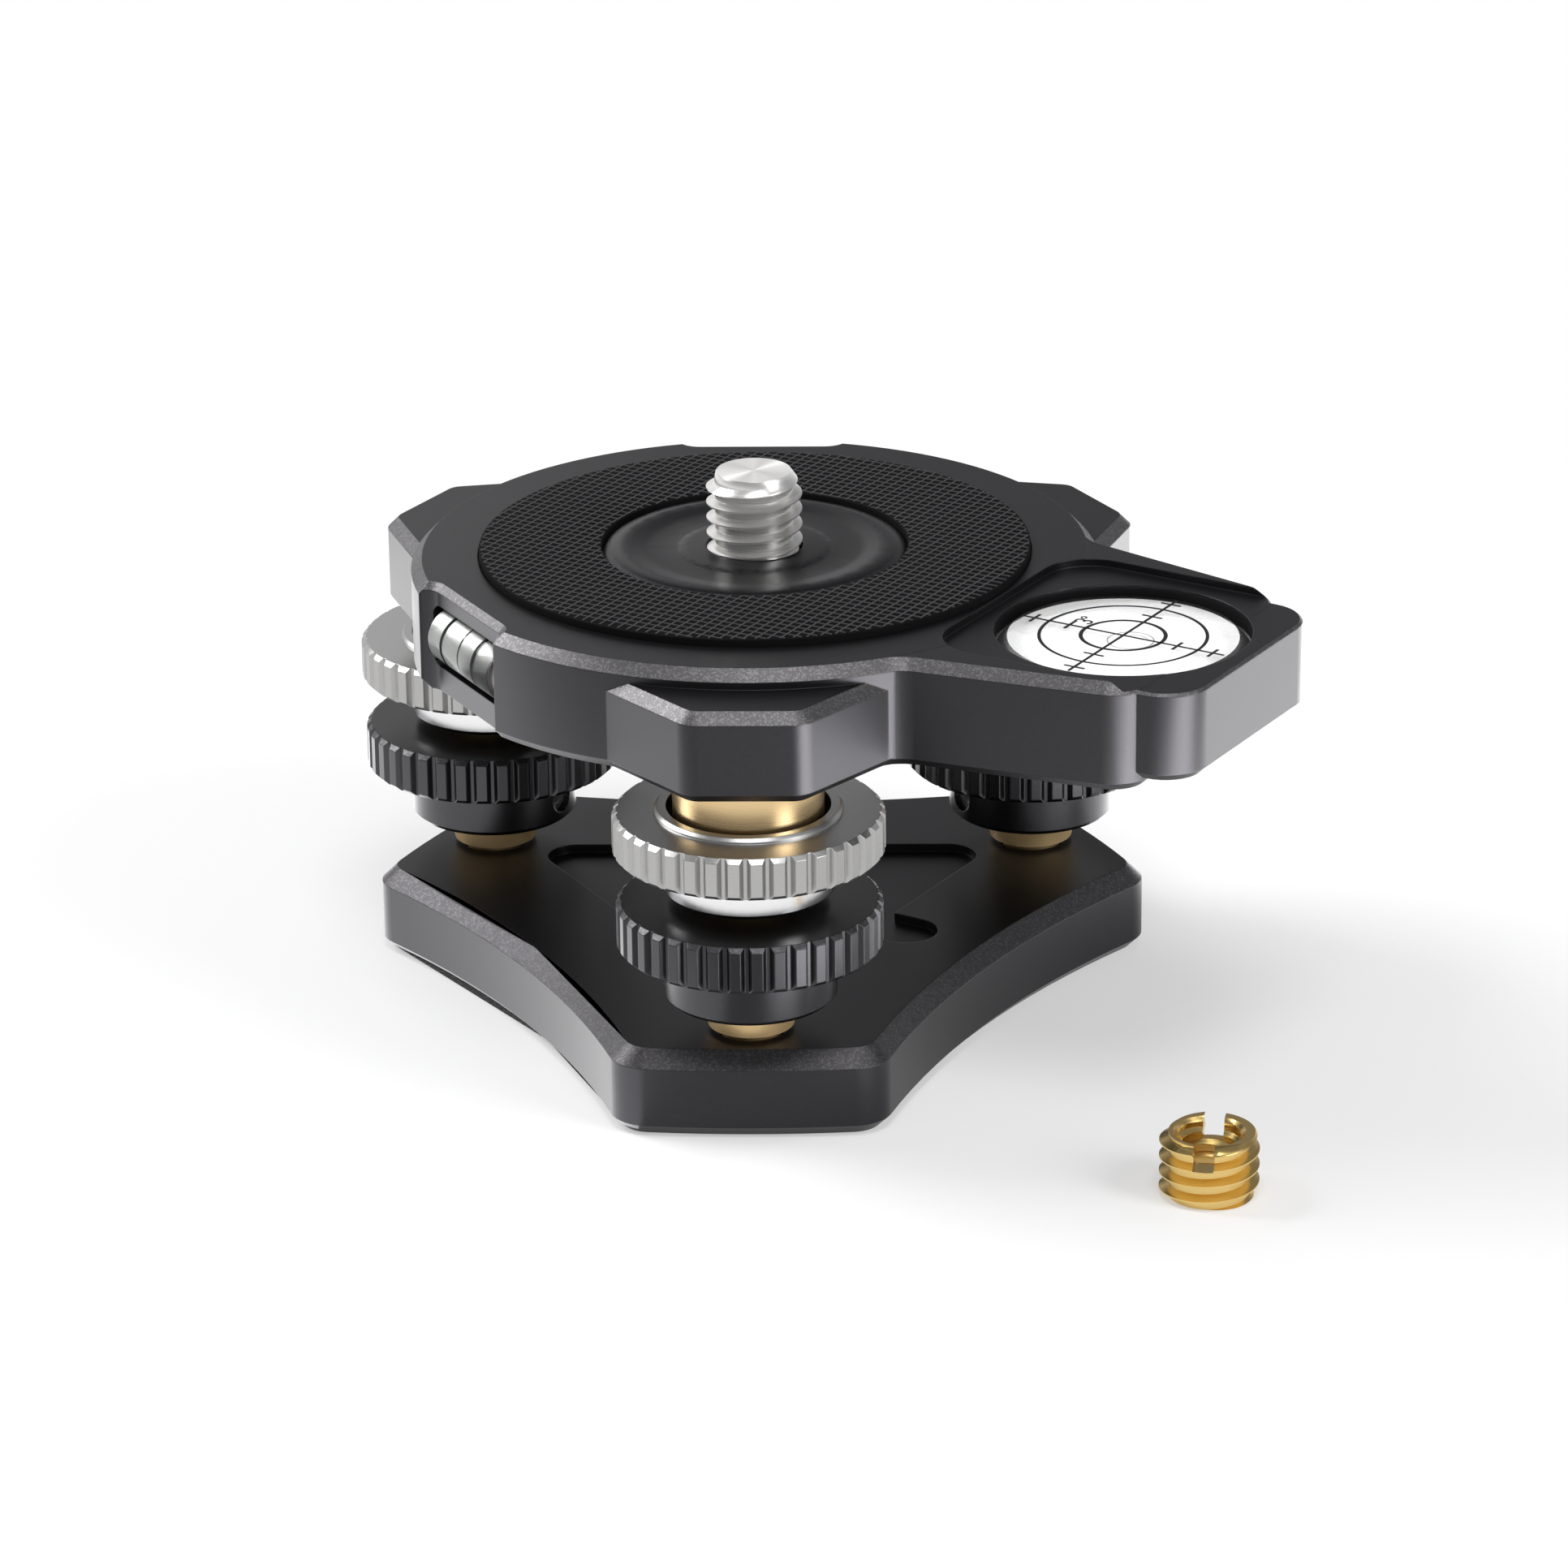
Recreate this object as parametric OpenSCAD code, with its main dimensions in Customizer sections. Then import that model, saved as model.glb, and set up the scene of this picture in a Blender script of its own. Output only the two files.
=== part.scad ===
// Three-wheel leveling base for a camera tripod, in millimetres.
// Origin: centre of the tripod socket on the underside of the base, +Z up, front leg towards -Y.

/* [Base plate] */
// Thickness of the base plate
base_thick = 8.8; // [8:0.1:12]
// Distance of each leg's axis from the middle of the base
leg_circle_r = 32; // [31:0.25:34]
// Distance from a leg's axis to its corner's outer face
base_corner_margin = 7.3; // [7:0.1:9]
// Radius of a leg corner's gently bowed outer face
base_corner_arc_r = 100; // [60:5:160]
// Radius of the upright edges at a leg corner
base_corner_fillet = 4; // [2.5:0.25:5]
// Distance from the middle to the waist of a side
base_waist = 27.1; // [25.5:0.1:29]
// Radius of the hollow sides
base_side_arc_r = 114; // [90:2:160]
// Bevel around the top of the base
base_top_bevel = 1.6; // [0.5:0.1:2]
// Bevel around the underside of the base
base_under_bevel = 1.2; // [0.3:0.1:1.4]
// Depth of the three-cornered pocket in the top of the base
pocket_depth = 0.9; // [0.4:0.1:1.5]
// Distance from the middle to a side of the pocket
pocket_inradius = 14; // [12:0.25:15]
// Radius of the pocket's corners
pocket_corner_r = 3; // [1.5:0.25:5]
// Width of the finger slot that leaves the pocket
slot_width = 6.4; // [4:0.2:8]
// Distance from the middle to the end of the finger slot
slot_reach = 20.4; // [18:0.2:23]

/* [Tripod socket] */
// Bore of the 3/8 inch socket, drilled for its thread
socket_bore_d = 7.94; // [7.9:0.01:8]
// Outside of the socket bush
socket_bush_d = 13; // [11:0.5:16]
// How far the socket bush's flange overhangs
socket_flange_lip = 2; // [1.5:0.25:4]
// Thickness of the socket flange
socket_flange_h = 0.8; // [0.5:0.1:1.5]

/* [Swivel feet] */
// Height of the ball centres above the underside
ball_centre_z = 4; // [3.8:0.1:4.3]
// Diameter of the swivel ball
ball_d = 7.4; // [7:0.1:7.8]
// Height of the ball between its flats
ball_height = 5; // [4.4:0.1:5.2]
// Wall of the ball liner
liner_wall = 0.75; // [0.5:0.05:0.9]
// Height of the ball liner
liner_height = 4.6; // [4:0.1:4.8]
// Room around a leg's spacer in the base, for its lean
lean_room = 0.8; // [0.75:0.05:0.9]
// How far the retainer reaches past the ball's seat
retainer_land = 0.25; // [0.2:0.05:0.4]
// Height of the retainer's upper face
retainer_top_z = 2.5; // [2.2:0.1:2.6]
// Height of the retainer's lower face
retainer_under_z = 0.6; // [0.3:0.1:0.9]

/* [Leveling screws] */
// Outside of the leveling thread
screw_d = 8; // [7.5:0.1:8.4]
// Journal that turns in the swivel ball
journal_d = 5; // [4.6:0.1:5.2]
// Spacer between the ball and the neck
spacer_d = 5.8; // [5.6:0.1:6]
// Lip of the neck past the leg's hole
neck_lip = 0.5; // [0.4:0.05:0.8]
// How far the neck flares out towards the wheel
neck_flare = 0.6; // [0.2:0.05:1.2]
// Gap between the neck and the base
neck_gap = 0.5; // [0.45:0.05:0.7]
// Height of the wheel above the base
neck_rise = 3.5; // [3:0.1:5]
// Room above the screw inside its sleeve
screw_headroom = 2.3; // [1:0.1:4]
// Thickness of the journal's clip
clip_h = 0.5; // [0.3:0.05:0.6]
// How far the clip stands out from the journal
clip_lip = 0.55; // [0.5:0.05:0.8]
// Length of journal below the clip
journal_tail = 0.2; // [0.1:0.05:0.3]

/* [Adjusting wheels] */
// How far the fluted rim lies inside the lock wheel's rim
adjust_rim_inset = 0.25; // [0:0.05:0.8]
// Height of the fluted rim
adjust_rim_h = 4.7; // [4:0.1:6]
// Hub under the rim
adjust_hub_d = 16.8; // [15:0.1:18]
// Height of the hub under the rim
adjust_hub_h = 5.3; // [4.5:0.1:6]
// Grub screw that holds the wheel
grub_d = 3; // [2:0.5:3]
// Depth of the grub screw's end inside the hub
grub_inset = 0.8; // [0.4:0.05:1.2]

/* [Lock wheels] */
// Outside of the fluted rim
lock_d = 26.3; // [24:0.1:28]
// Height of the fluted rim
lock_rim_h = 4.2; // [3.5:0.1:5]
// Hub under the rim
lock_hub_d = 16.6; // [16.4:0.1:18]
// Height of the hub under the rim
lock_hub_h = 4; // [3.6:0.1:5]
// Wall of the raised collar
lock_collar_wall = 1.15; // [0.8:0.05:2]
// Height of the raised collar
lock_collar_h = 0.5; // [0.3:0.05:0.8]
// Room between the sleeve and the counterbore
lock_counterbore_room = 0.65; // [0.4:0.05:0.9]
// Length of the lock wheel's thread
lock_thread_len = 3.5; // [3:0.1:3.8]
// Gap between the lock wheel's hub and the adjusting wheel
lock_gap = 1; // [0.8:0.05:1.5]
// Upward travel of a lock wheel
lock_travel = 2.2; // [1:0.1:2.4]
// Wall of the hub around the friction washer
washer_wall = 0.65; // [0.5:0.05:1]
// Room between the friction washer and the sleeve
washer_room = 0.3; // [0.2:0.05:0.5]
// Thickness of the friction washer
washer_h = 0.8; // [0.5:0.05:1]
// How far the washer stands below the hub
washer_proud = 0.1; // [0.05:0.05:0.2]

/* [Wheel flutes] */
// Number of flutes around a rim
flutes = 38; // [24:1:48]
// Width of a flute at the rim
flute_width = 1.1; // [0.6:0.05:1.4]
// Depth of a flute
flute_depth = 0.55; // [0.2:0.05:0.8]
// Bevel along a rim's edges
rim_bevel = 0.45; // [0.2:0.05:0.8]

/* [Guide sleeves] */
// Wall of the sleeve in its lock thread
sleeve_thread_wall = 1.75; // [1.4:0.05:1.9]
// Step from the lock thread out to the smooth sleeve
sleeve_step = 1.5; // [1:0.05:1.8]
// Wall of the sleeve's spigot in the plate
sleeve_spigot_wall = 1.95; // [1.4:0.05:2.4]
// Length of the spigot in the plate
sleeve_spigot_len = 7.5; // [6:0.1:7.6]
// Room above the lock wheel's thread at the top of its travel
lock_travel_room = 0.25; // [0.1:0.05:0.5]
// How far the sleeve's end lies inside the lock wheel
sleeve_inset = 0.7; // [0.5:0.05:0.9]
// Length of sleeve in view between the lock wheel and the plate
sleeve_in_view = 3.3; // [2.6:0.1:5]

/* [Top plate] */
// Outside of the round plate
plate_d = 68.3; // [66:0.1:72]
// Thickness of the plate
plate_thick = 11; // [10.5:0.1:13]
// Bevel around the top of the plate
plate_top_bevel = 1.1; // [0.5:0.05:1.4]
// Bevel around the underside of the plate
plate_under_bevel = 1; // [0.3:0.05:1.2]
// Drop from the plate's top to a leg lobe's top
lobe_drop = 1.85; // [1.5:0.05:2]
// Distance from a leg's axis to its lobe's outer face
lobe_margin = 8.6; // [8.2:0.1:11]
// Width of a lobe's outer face
lobe_face_w = 14.2; // [11:0.2:16]
// Width of a lobe where it leaves the round plate
lobe_root_w = 26.9; // [22:0.1:28]
// Radius of a lobe's upright edges
lobe_edge_r = 2.75; // [1.5:0.25:4]
// Radius of the hollow between a lobe's side and the round plate
lobe_root_r = 2; // [1.5:0.25:5]
// How far a hollow runs into the round plate
root_sink = 0.1; // [0.06:0.02:0.3]
// Depth of a tube vial's flat below the plate's round edge
flat_depth = 2.35; // [1.5:0.05:3]
// Width of a tube vial's flat
flat_w = 12.8; // [10:0.2:14]
// Radius of the rounded ends of a tube vial's flat
flat_end_r = 1.8; // [1.6:0.1:3.4]
// Bevel along a tube vial's flat
flat_bevel = 0.7; // [0.3:0.05:1.2]

/* [Bullseye arm] */
// Land between the recess's inner wall and the bullseye's seat
bullseye_land = 1.3; // [0.6:0.1:3]
// Distance from the bullseye's centre to the ends of the arm's cheeks
cheek_reach = 9.4; // [7:0.1:11]
// Wall of the arm's cheeks at their ends
cheek_wall = 1.3; // [1.2:0.1:3]
// Room between the bullseye's seat and the arm's cheeks
cheek_room = 2.1; // [1:0.1:3]
// How much the arm widens on each side towards its root
arm_flare = 3.5; // [1:0.1:5]
// Radius of the arm's upright edges
arm_edge_r = 4; // [2:0.25:5]
// Radius of the hollow between the arm's side and the round plate
arm_root_r = 4; // [2:0.25:6]
// Depth of the recess around the bullseye
recess_depth = 0.8; // [0.6:0.05:1.5]
// Wall between the pad's groove and the recess
recess_wall = 0.3; // [0.2:0.05:1]
// Radius of the recess's inner corners
recess_corner_r = 5; // [2:0.25:6]
// Wall of the end block beyond the bullseye's seat
block_wall = 1.6; // [0.8:0.1:3]
// Wall of the end block beside the bullseye's seat
block_side_wall = 1.3; // [0.4:0.05:1.6]
// Radius of the end block's upright edges
block_edge_r = 4.5; // [3:0.25:6]
// Bevel along the end block's top
block_bevel = 0.3; // [0.1:0.05:0.6]
// How far the end block's underside lies above the plate's
block_rise = 1.2; // [0.4:0.1:2]

/* [Vials] */
// Outside of the bullseye vial
bullseye_d = 24.8; // [24:0.1:25]
// Depth of the bullseye's seat below the recess
bullseye_seat_depth = 7.2; // [6:0.1:8]
// Drop from the recess to the bullseye's window
bullseye_drop = 0.6; // [0.3:0.05:1]
// Wall of the clear window's skirt around the dial
skirt_wall = 1; // [0.6:0.05:1.5]
// Thickness of clear window over the dial
window_thick = 2; // [1.2:0.1:3]
// Depth of the window's skirt around the dial
window_skirt = 1.6; // [1:0.1:2.5]
// Bevel on the window's edge
window_bevel = 1.2; // [0.4:0.05:1.4]
// Outside of a tube vial
tube_d = 6; // [5:0.1:6.4]
// Length of a tube vial
tube_len = 14.4; // [13:0.1:14.8]
// How far a tube vial stands out of its flat
tube_proud = 1.4; // [0:0.05:1.6]
// Height of a tube vial's axis above the plate's underside
tube_rise = 5.7; // [4.5:0.1:6]
// Room above and below a tube vial in its slot
tube_room = 0.2; // [0.15:0.05:0.7]
// Radius of the corners of a tube vial's slot
tube_slot_r = 0.9; // [0.6:0.1:2]

/* [Stud and pad] */
// Outside of the 3/8 inch stud
stud_d = 9.525; // [9.5:0.005:9.55]
// Pitch of the stud's thread, 16 to the inch
stud_pitch = 1.5875; // [1.5:0.0125:1.6]
// Relieved shank of the stud inside the plate
stud_shank_d = 8.8; // [8:0.1:9.2]
// Height of the stud above the plate
stud_rise = 8.3; // [6:0.1:12]
// Head of the stud under the plate
stud_head_d = 16; // [14:0.5:18]
// Thickness of the stud's head
stud_head_h = 2.8; // [2:0.1:3.5]
// Hexagon socket in the stud's head, across its corners
stud_hex_d = 5.8; // [4:0.1:6.5]
// Outside of the turned seat around the stud
seat_d = 30; // [28:0.1:30.2]
// Crest circle of the turned seat
seat_crest_d = 26.1; // [25:0.1:27]
// Outside of the seat's flat floor
seat_floor_d = 20.8; // [19:0.1:22]
// Outside of the seat's inner boss
seat_boss_d = 15.6; // [14:0.1:17]
// Height of the seat's crest above the plate
seat_crest_h = 0.65; // [0.4:0.05:0.75]
// Height of the seat's floor above the plate
seat_floor_h = 0.25; // [0.15:0.05:0.35]
// Height of the seat's boss beside the stud
seat_boss_h = 0.5; // [0.4:0.05:0.7]
// Outside of the grip pad
pad_d = 54.8; // [52:0.1:56]
// Gap between the turned seat and the pad
pad_gap = 0.2; // [0.1:0.05:1]
// How far the pad stands above the plate
pad_proud = 0.8; // [0.5:0.05:1.2]
// Depth of the pad's groove in the plate
pad_groove = 0.4; // [0.2:0.05:0.8]

/* [Thread adapter] */
// Distance of the loose adapter to the right of the middle
adapter_x = 43.7; // [40:0.1:55]
// Distance of the loose adapter in front of the middle
adapter_y = 51.2; // [48:0.1:60]
// Length of the adapter
adapter_len = 6.4; // [5:0.1:10]
// Bore of the adapter, drilled for a 1/4 inch thread
adapter_bore_d = 5.1; // [5:0.05:5.3]
// Width of the adapter's screwdriver slot
adapter_slot_w = 2; // [1:0.1:2.4]
// Depth of the adapter's screwdriver slot
adapter_slot_depth = 2.2; // [1:0.1:2.6]
// Bevel at the mouth of the adapter's bore
adapter_mouth_bevel = 0.9; // [0.3:0.1:1.2]

/* [Clearances] */
// Radial room of a thread or journal that turns
turn_clear = 0.05; // [0.02:0.01:0.08]
// Radial room of a pressed or screwed-in piece
seat_clear = 0.02; // [0.01:0.01:0.05]
// Radial room between a swivel ball and its liner
ball_clear = 0.4; // [0.35:0.01:0.45]
// Radial room between a liner and its seat
liner_clear = 0.2; // [0.1:0.05:0.25]
// End room of a piece held between two faces
end_clear = 0.05; // [0.02:0.01:0.1]
// Room around a glued vial, pad or window
glue_clear = 0.1; // [0.05:0.01:0.15]
// Step between joined blocks of one piece
join_step = 0.04; // [0.02:0.01:0.06]

/* [Hidden] */
$fn = 96;
HULL_FN = 32;
OVER = 0.5;
LEGS = [["front", -90], ["right", 30], ["left", 150]];
ARM_ANGLE = -30;
SLOT_ANGLE = -30;
ADAPTER_ANGLE = 80;
TUBES = [["left", -150], ["rear", 90]];
LEG_PIECES = ["ball_retainer", "ball_liner", "swivel_ball", "leveling_screw", "journal_clip",
              "adjust_wheel", "grub_screw", "guide_sleeve", "lock_wheel", "lock_washer"];
FIXED_PIECES = ["base_plate", "socket_bush", "top_plate", "grip_pad", "stud_seat", "camera_stud",
                "bullseye_body", "bullseye_window", "thread_adapter"];

BLACK = "#2c2c30";
SILVER = "#c8c8c6";
BRASS = "#c8a45a";
STEEL = "#d5d3cf";
RUBBER = "#1b1b1d";
CLEAR = "#dfe9ea";
WHITE = "#f2f2ee";
NYLON = "#e6e2d6";
BRONZE = "#a9803f";

// Sizes that follow their neighbours
base_corner_reach = leg_circle_r + base_corner_margin;
lobe_reach = leg_circle_r + lobe_margin;
socket_flange_d = socket_bush_d + 2 * socket_flange_lip;
liner_r = ball_d / 2 + ball_clear;
liner_outer_r = liner_r + liner_wall;
ball_seat_r = liner_outer_r + liner_clear;
retainer_r = ball_seat_r + retainer_land;
leg_hole_d = spacer_d + 2 * lean_room;
neck_under_d = leg_hole_d + 2 * neck_lip;
neck_top_d = neck_under_d + 2 * neck_flare;
clip_d = journal_d + 2 * clip_lip;
sleeve_bore_d = screw_d + 2 * turn_clear;
sleeve_thread_d = sleeve_bore_d + 2 * sleeve_thread_wall;
sleeve_spigot_d = sleeve_bore_d + 2 * sleeve_spigot_wall;
sleeve_d = sleeve_thread_d + 2 * sleeve_step;
lock_counterbore_d = sleeve_d + 2 * lock_counterbore_room;
lock_collar_d = lock_counterbore_d + 2 * lock_collar_wall;
washer_seat_d = lock_hub_d - 2 * washer_wall;
washer_d = washer_seat_d - 2 * turn_clear;
washer_bore_d = sleeve_thread_d + 2 * washer_room;
adjust_d = lock_d - 2 * adjust_rim_inset;
grub_start = screw_d / 2 + seat_clear;
grub_len = adjust_hub_d / 2 - grub_start - grub_inset;
flat_reach = plate_d / 2 - flat_depth;
pad_hole_d = seat_d + 2 * pad_gap;
bullseye_seat_r = bullseye_d / 2 + glue_clear;
recess_inner = pad_d / 2 + glue_clear + recess_wall;
bullseye_reach = recess_inner + bullseye_land + bullseye_seat_r;
recess_half_w = bullseye_seat_r + cheek_room;
arm_reach = bullseye_reach + cheek_reach;
arm_tip_half_w = recess_half_w + cheek_wall;
arm_root_half_w = arm_tip_half_w + arm_flare;
block_reach = bullseye_reach + bullseye_seat_r + block_wall;
block_half_w = bullseye_seat_r + block_side_wall;
dial_d = bullseye_d - 2 * skirt_wall;
tube_slot_h = tube_d + 2 * tube_room;

// Height stack from the underside up
neck_z = base_thick + neck_gap;
adjust_z = base_thick + neck_rise;
adjust_rim_z = adjust_z + adjust_hub_h;
adjust_top_z = adjust_rim_z + adjust_rim_h;
lock_z = adjust_top_z + lock_gap;
lock_rim_z = lock_z + lock_hub_h;
lock_top_z = lock_rim_z + lock_rim_h;
lock_collar_z = lock_top_z + lock_collar_h;
plate_z = lock_collar_z + sleeve_in_view;
plate_top_z = plate_z + plate_thick;
lobe_top_z = plate_top_z - lobe_drop;
recess_z = plate_top_z - recess_depth;
lock_thread_z = lock_z + washer_h - washer_proud + end_clear;
sleeve_z = lock_z + sleeve_inset;
sleeve_thread_z = lock_thread_z + lock_thread_len + lock_travel + lock_travel_room;
sleeve_top_z = plate_z + sleeve_spigot_len;
screw_top_z = sleeve_top_z - screw_headroom;
stud_thread_z = plate_top_z + seat_boss_h;
ball_top_z = ball_centre_z + ball_height / 2;
ball_under_z = ball_centre_z - ball_height / 2;
clip_z = ball_under_z - end_clear - clip_h;
pocket_z = base_thick - pocket_depth;
tube_axis_z = plate_z + tube_rise;
tube_axis_reach = flat_reach + tube_proud - tube_d / 2;
bullseye_z = recess_z - bullseye_seat_depth;
window_z = recess_z - bullseye_drop;

// Thread crest and groove widths as shares of the pitch, from the 60 degree form
CREST = 0.25;
ROOT = 0.2;
THREAD_DEPTH = 0.54;

// Where two circles cross, on the side to the left of the way from a to b
function crossing(a, ra, b, rb) =
    let (d = norm(b - a), x = (d * d + ra * ra - rb * rb) / (2 * d), y = sqrt(ra * ra - x * x),
         u = (b - a) / d)
    a + x * u + y * [-u[1], u[0]];
function angle_of(v) = atan2(v[1], v[0]);
function arc_points(c, r, from, to, steps) =
    [for (i = [0 : steps]) let (a = from + (to - from) * i / steps) c + r * [cos(a), sin(a)]];
function turned(points, a) =
    [for (p = points) [p[0] * cos(a) - p[1] * sin(a), p[0] * sin(a) + p[1] * cos(a)]];

// Base outline, drawn in by an inset: a bowed corner, a rounded edge, half a hollow side, mirrored, per leg
bow_centre = [base_corner_reach - base_corner_arc_r, 0];
hollow_centre = (base_waist + base_side_arc_r) * [cos(60), sin(60)];
edge_centre = crossing(hollow_centre, base_side_arc_r + base_corner_fillet,
                       bow_centre, base_corner_arc_r - base_corner_fillet);
function corner_half(inset) =
    let (bow_end = angle_of(edge_centre - bow_centre), edge_end = angle_of(hollow_centre - edge_centre),
         hollow_start = angle_of(edge_centre - hollow_centre))
    concat(arc_points(bow_centre, base_corner_arc_r - inset, 0, bow_end, 4),
           arc_points(edge_centre, base_corner_fillet - inset, bow_end, edge_end, 8),
           arc_points(hollow_centre, base_side_arc_r + inset, hollow_start, -120, 8));
function mirrored(points) = [for (i = [len(points) - 1 : -1 : 0]) [points[i][0], -points[i][1]]];
function distinct(points) = [for (i = [0 : len(points) - 1])
    if (norm(points[i] - points[(i + len(points) - 1) % len(points)]) > 0.001) points[i]];
function base_outline(inset) =
    let (half = corner_half(inset), corner = concat(mirrored(half), half))
    distinct([for (l = LEGS) each turned(corner, l[1])]);

// Solid through a stack of like outlines, each given as [height, points]
module loft(stack) {
    n = len(stack[0][1]);
    points = [for (s = stack) for (p = s[1]) [p[0], p[1], s[0]]];
    sides = [for (k = [0 : len(stack) - 2]) for (i = [0 : n - 1])
        [k * n + i, (k + 1) * n + i, (k + 1) * n + (i + 1) % n, k * n + (i + 1) % n]];
    under = [for (i = [0 : n - 1]) i];
    upper = [for (i = [n - 1 : -1 : 0]) (len(stack) - 1) * n + i];
    polyhedron(points, concat(sides, [under, upper]), convexity = 6);
}

// Round piece with bevelled rims, from z0 to z1
module puck(r, z0, z1, top_bevel = 0, under_bevel = 0) {
    rotate_extrude() polygon(distinct([[0, z0], [r - under_bevel, z0], [r, z0 + under_bevel],
                                       [r, z1 - top_bevel], [r - top_bevel, z1], [0, z1]]));
}

module tube(r, bore_r, z0, z1) {
    difference() {
        translate([0, 0, z0]) cylinder(h = z1 - z0, r = r);
        bore(bore_r, z0, z1);
    }
}

module bore(r, z0, z1) {
    translate([0, 0, z0 - OVER]) cylinder(h = z1 - z0 + 2 * OVER, r = r);
}

module at_leg(a) {
    rotate(a) translate([leg_circle_r, 0, 0]) children();
}

// Ring-grooved stand-in for a screw thread, crest to crest
module thread_rings(d, pitch, z0, z1, bevel) {
    r = d / 2;
    root_r = r - THREAD_DEPTH * pitch;
    turns = floor((z1 - z0 - bevel) / pitch);
    flanks = [for (i = [0 : turns - 1]) let (z = z0 + i * pitch)
        each [[r, z], [r, z + CREST * pitch], [root_r, z + (1 + CREST - ROOT) / 2 * pitch],
              [root_r, z + (1 + CREST + ROOT) / 2 * pitch]]];
    end = [[r, z0 + turns * pitch], [r, z1 - bevel], [r - bevel, z1], [0, z1]];
    rotate_extrude() polygon(concat([[0, z0]], flanks, end));
}

// Wheel rim with upright flutes and bevelled edges
module fluted_rim(d, z0, z1) {
    r = d / 2;
    half_flute = asin(flute_width / 2 / r);
    outline = [for (i = [0 : flutes - 1]) let (a = 360 * i / flutes)
        each [(r - flute_depth) * [cos(a - half_flute / 3), sin(a - half_flute / 3)],
              (r - flute_depth) * [cos(a + half_flute / 3), sin(a + half_flute / 3)],
              r * [cos(a + half_flute), sin(a + half_flute)],
              r * [cos(a + 360 / flutes - half_flute), sin(a + 360 / flutes - half_flute)]]];
    intersection() {
        translate([0, 0, z0]) linear_extrude(z1 - z0) polygon(outline);
        puck(r, z0, z1, rim_bevel, rim_bevel);
    }
}

module base_plate() {
    color(BLACK) difference() {
        loft([[0, base_outline(base_under_bevel)], [base_under_bevel, base_outline(0)],
              [base_thick - base_top_bevel, base_outline(0)], [base_thick, base_outline(base_top_bevel)]]);
        base_pocket();
        bore(socket_bush_d / 2 + seat_clear, 0, base_thick);
        for (l = LEGS) at_leg(l[1]) ball_seat();
    }
}

module base_pocket() {
    corner = 2 * (pocket_inradius - pocket_corner_r);
    translate([0, 0, pocket_z]) {
        hull() for (l = LEGS) rotate(l[1]) translate([corner, 0, 0])
            cylinder(h = pocket_depth + OVER, r = pocket_corner_r, $fn = HULL_FN);
        rotate(SLOT_ANGLE) translate([slot_reach - slot_width / 2, 0, 0]) {
            cylinder(h = pocket_depth + OVER, r = slot_width / 2);
            translate([-slot_reach / 2, -slot_width / 2, 0])
                cube([slot_reach / 2, slot_width, pocket_depth + OVER]);
        }
    }
}

// Hole for a swivel foot: round roof, straight way in from below, and the retainer's wider mouth
module ball_seat() {
    bore(leg_hole_d / 2, ball_centre_z, base_thick);
    translate([0, 0, ball_centre_z]) intersection() {
        sphere(r = ball_seat_r);
        cylinder(h = ball_seat_r, r = 2 * ball_seat_r);
    }
    bore(ball_seat_r, OVER, ball_centre_z - OVER);
    bore(retainer_r + seat_clear, -OVER, retainer_top_z - OVER);
}

module socket_bush() {
    color(STEEL) difference() {
        union() {
            cylinder(h = pocket_z, r = socket_bush_d / 2);
            translate([0, 0, pocket_z]) cylinder(h = socket_flange_h, r = socket_flange_d / 2);
        }
        bore(socket_bore_d / 2, 0, pocket_z + socket_flange_h);
    }
}

module ball_retainer(a) {
    color(BRASS) at_leg(a) difference() {
        tube(retainer_r, liner_r, retainer_under_z, retainer_top_z);
        translate([0, 0, ball_centre_z]) sphere(r = ball_seat_r);
    }
}

// Part of a ball between two flats
module zone(r, height) {
    intersection() {
        sphere(r = r);
        cylinder(h = height, r = 2 * r, center = true);
    }
}

module ball_liner(a) {
    color(NYLON) at_leg(a) translate([0, 0, ball_centre_z]) difference() {
        zone(liner_outer_r, liner_height);
        sphere(r = liner_r);
    }
}

module swivel_ball(a) {
    color(BRONZE) at_leg(a) difference() {
        translate([0, 0, ball_centre_z]) zone(ball_d / 2, ball_height);
        bore(journal_d / 2 + turn_clear, ball_under_z, ball_top_z);
    }
}

module leveling_screw(a) {
    color(BRASS) at_leg(a) rotate_extrude() polygon([
        [0, clip_z - journal_tail], [journal_d / 2, clip_z - journal_tail],
        [journal_d / 2, ball_top_z + end_clear], [spacer_d / 2, ball_top_z + end_clear],
        [spacer_d / 2, neck_z], [neck_under_d / 2, neck_z],
        [neck_top_d / 2, adjust_z], [screw_d / 2, adjust_z], [screw_d / 2, screw_top_z - rim_bevel],
        [screw_d / 2 - rim_bevel, screw_top_z], [0, screw_top_z]]);
}

module journal_clip(a) {
    color(STEEL) at_leg(a) tube(clip_d / 2, journal_d / 2 + seat_clear, clip_z, clip_z + clip_h);
}

module grub_axis() {
    translate([0, 0, adjust_z + adjust_hub_h / 2]) rotate([0, -90, 0]) children();
}

module adjust_wheel(a) {
    color(BLACK) at_leg(a) difference() {
        union() {
            puck(adjust_hub_d / 2, adjust_z, adjust_rim_z, 0, rim_bevel);
            fluted_rim(adjust_d, adjust_rim_z, adjust_top_z);
        }
        bore(screw_d / 2 + seat_clear, adjust_z, adjust_top_z);
        grub_axis() cylinder(h = adjust_hub_d / 2 + OVER, r = grub_d / 2 + seat_clear);
    }
}

module grub_screw(a) {
    color(STEEL) at_leg(a) grub_axis() translate([0, 0, grub_start]) difference() {
        cylinder(h = grub_len, r = grub_d / 2);
        translate([0, 0, grub_len / 2]) cylinder(h = grub_len, r = grub_d / 4, $fn = 6);
    }
}

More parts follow.
